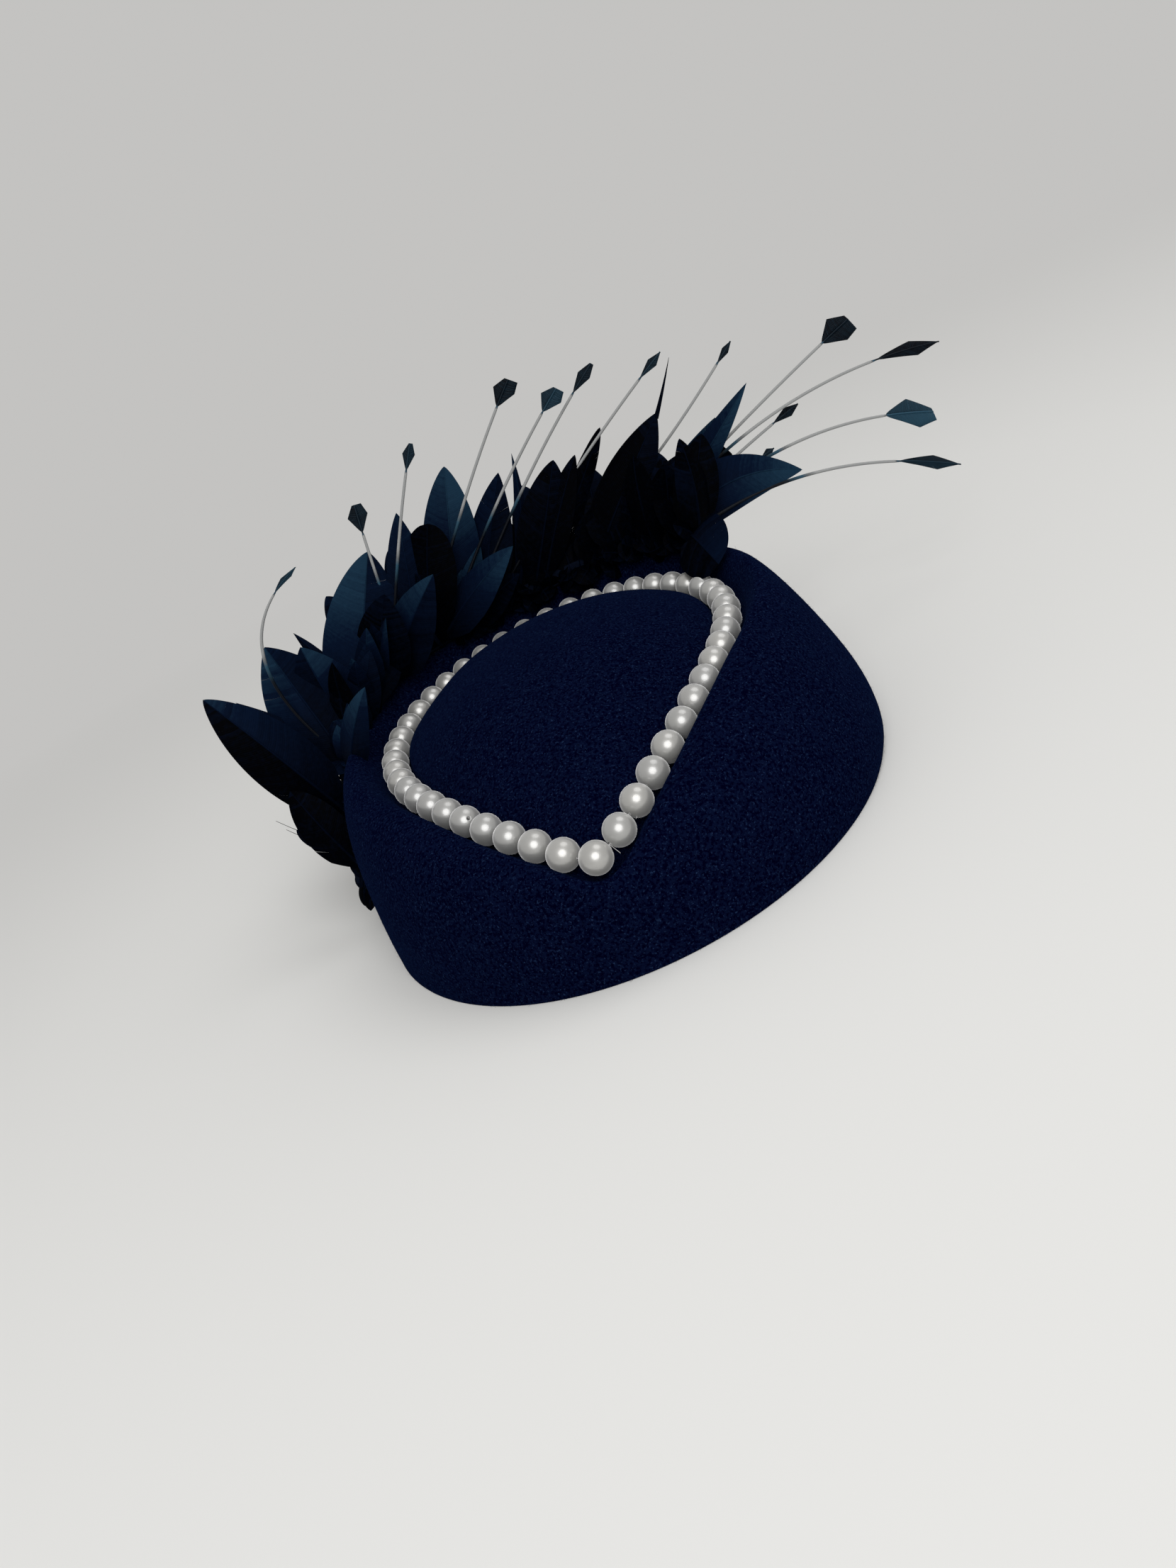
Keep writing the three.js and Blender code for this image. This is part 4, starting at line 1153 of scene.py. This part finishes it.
class HAT_OT_pearls(bpy.types.Operator):
    """String the pearls in the groove on their thread"""

    bl_idname = "hat.pearls"
    bl_label = "Pearl string"

    def execute(self, context):
        settings = context.scene.hat_pearls
        count = settings.count
        centre = loop_at(np.arange(count) / count)
        axis = unit(np.roll(centre, -1, axis=0) - np.roll(centre, 1, axis=0))
        axis[TURNED_PEARL.number % count] = unit(np.array(TURNED_PEARL.hole_way))
        across = unit(np.cross(UP, axis))
        lift = np.cross(axis, across)
        rng = np.random.default_rng(PEARL.seed)
        turn = 2 * np.pi * np.arange(PEARL.columns) / PEARL.columns
        ring_r, ring_x = self.profile(settings.hole / settings.diameter) * settings.diameter / 2 / MM
        turn = (turn + rng.uniform(0, 2 * np.pi, (count, 1)))[..., None]
        level = np.cos(turn) * across[:, None] + np.sin(turn) * lift[:, None]
        size = rng.normal(1, PEARL.spread, (count, 1, 1, 1))
        rings = ring_r[:, None, None] * level[:, None] + ring_x[:, None, None] * axis[:, None, None]
        rings = centre[:, None, None] + rings * size
        ends = rings.mean(axis=2)[:, [0, -1]]
        points = np.concatenate([rings.reshape(count, -1, 3), ends], axis=1)
        start = (np.arange(count) * points.shape[1])[:, None, None]
        quads, fans = closed_faces(len(ring_r), PEARL.columns)
        body = Body()
        body.add(points, start + quads, start + fans, tint=np.repeat(rng.random(count), points.shape[1]))
        body.piece("pearls", pearl_finish(settings), "pearl", replaces=["pearl_string"])
        self.thread(settings)
        return {"FINISHED"}

    def profile(self, hole):
        """Radius and place along the hole of a pearl's rings, for a pearl of radius one: the floor of the
        drilled hole, its edge, a half circle with sine and cosine, and the hole at the other end."""
        edge = np.arcsin(hole)
        soft = edge + PEARL.edge_soft
        polar = np.concatenate([[edge], np.linspace(soft, np.pi - soft, PEARL.rows), [np.pi - edge]])
        floor = PEARL.hole_floor
        radius = np.concatenate([[hole], np.sin(polar), [hole]])
        return np.stack([radius, np.concatenate([[-floor], -np.cos(polar), [floor]])])

    def thread(self, settings):
        """Thread along the whole pearl line, as a thin tube that closes on itself."""
        path = loop_at(np.arange(THREAD.stations) / THREAD.stations)
        along = unit(np.roll(path, -1, axis=0) - np.roll(path, 1, axis=0))
        across = unit(np.cross(UP, along))
        sides = THREAD.sides
        rings = tube_rings(path, across, np.cross(along, across), settings.thread / 2 / MM, sides)
        body = Body()
        body.add(rings, grid_faces(len(path), sides, close_rows=True))
        for start, middle, end in np.array(THREAD_ENDS):
            self.thread_end(body, start, middle, end, settings.thread_end / 2 / MM)
        body.piece("pearl_thread", thread_finish(), "pearl")

    def thread_end(self, body, start, middle, end, radius):
        """Cut end of the thread: a thin tube on a curve drawn by three points."""
        path = bezier(start, middle, end, np.linspace(0, 1, THREAD.end_stations))
        along = unit(np.gradient(path, axis=0))
        across = unit(np.cross(THREAD.aside, along))
        add_tube(body, path, across, np.cross(along, across), radius, THREAD.sides)


class HAT_OT_feathers(bpy.types.Operator):
    """Set the trimmed feathers on their band round the back and down one side"""

    bl_idname = "hat.feathers"
    bl_label = "Feathers"

    def execute(self, context):
        settings = context.scene.hat_feathers
        rng = np.random.default_rng(settings.seed)
        finish = feather_finish(settings)
        leaves = Body()
        for row in FEATHERS:
            add_feather(leaves, named(FEATHER_COLUMNS, row), rng)
        for start, end, radius in STRANDS:
            add_strand(leaves, start, end, radius)
        leaves.piece("leaf_feathers", finish, "feather", smooth=False, replaces=["feather_mount"])
        for name, kinds in COVER_PIECES.items():
            body = Body()
            if name == "back_feathers":
                for row in back_rows():
                    add_feather(body, row, rng)
            for kind in kinds:
                for row in cover_rows(kind, rng):
                    add_feather(body, row, rng)
            body.piece(name, finish, "feather", smooth=False)
        self.band(settings)
        return {"FINISHED"}

    def band(self, settings):
        """Ribbon under the feathers: a rounded flat section carried along the band's seat, and a thin one
        standing on it that carries the shafts."""
        seat, along, normal, _out = band_frame(np.linspace(0, 1, STRIP.stations))
        across = np.cross(normal, along)
        half = STRIP.thick / 2
        body = Body()
        path = seat + normal * (half - STRIP.sink)
        add_tube(body, path, across * STRIP.width / 2, normal * half, 1.0, STRIP.sides)
        rise = normal * STAND.height / 2
        add_tube(body, seat + rise, across * STAND.thick / 2, rise, 1.0, STAND.sides)
        body.piece("feather_band", band_finish(settings), "feather")


class HAT_OT_quills(bpy.types.Operator):
    """Set the stripped quills with their trimmed tips"""

    bl_idname = "hat.quills"
    bl_label = "Quills"

    def execute(self, context):
        settings = context.scene.hat_quills
        rng = np.random.default_rng(settings.seed)
        finish = quill_finish(settings)
        for number, row in enumerate(QUILLS, 1):
            body = Body()
            add_quill(body, named(QUILL_COLUMNS, row), rng)
            body.piece(f"stripped_quill_{number:02d}", finish, "quill", replaces=[f"quill_{number:02d}"])
        return {"FINISHED"}


GROUPS = (
    ("hat_stage", HatStage),
    ("hat_elastic", HatElastic),
    ("hat_felt", HatFelt),
    ("hat_pearls", HatPearls),
    ("hat_feathers", HatFeathers),
    ("hat_quills", HatQuills),
)
OPERATORS = (
    HAT_OT_stage,
    HAT_OT_elastic,
    HAT_OT_felt,
    HAT_OT_fibres,
    HAT_OT_pearls,
    HAT_OT_feathers,
    HAT_OT_quills,
)


class HAT_PT_pieces(bpy.types.Panel):
    """Pieces of the hat in the order they are made"""

    bl_idname = "HAT_PT_pieces"
    bl_label = "Percher hat"
    bl_space_type = "VIEW_3D"
    bl_region_type = "UI"
    bl_category = "Hat"

    def draw(self, context):
        for operator in OPERATORS:
            self.layout.operator(operator.bl_idname)
        for name, group in GROUPS:
            box = self.layout.box()
            for key in group.__annotations__:
                box.prop(getattr(context.scene, name), key)


def register():
    """Make the settings, the operators and the panel known to Blender."""
    for name, group in GROUPS:
        bpy.utils.register_class(group)
        setattr(bpy.types.Scene, name, PointerProperty(type=group))
    for operator in (*OPERATORS, HAT_PT_pieces):
        bpy.utils.register_class(operator)


def unregister():
    """Take them out again, the last first."""
    for operator in (HAT_PT_pieces, *reversed(OPERATORS)):
        bpy.utils.unregister_class(operator)
    for name, group in reversed(GROUPS):
        delattr(bpy.types.Scene, name)
        bpy.utils.unregister_class(group)


def main():
    """Make every piece in order."""
    register()
    bpy.ops.hat.stage()
    bpy.ops.hat.elastic()
    bpy.ops.hat.felt()
    bpy.ops.hat.fibres()
    bpy.ops.hat.pearls()
    bpy.ops.hat.feathers()
    bpy.ops.hat.quills()


if __name__ == "__main__":
    main()
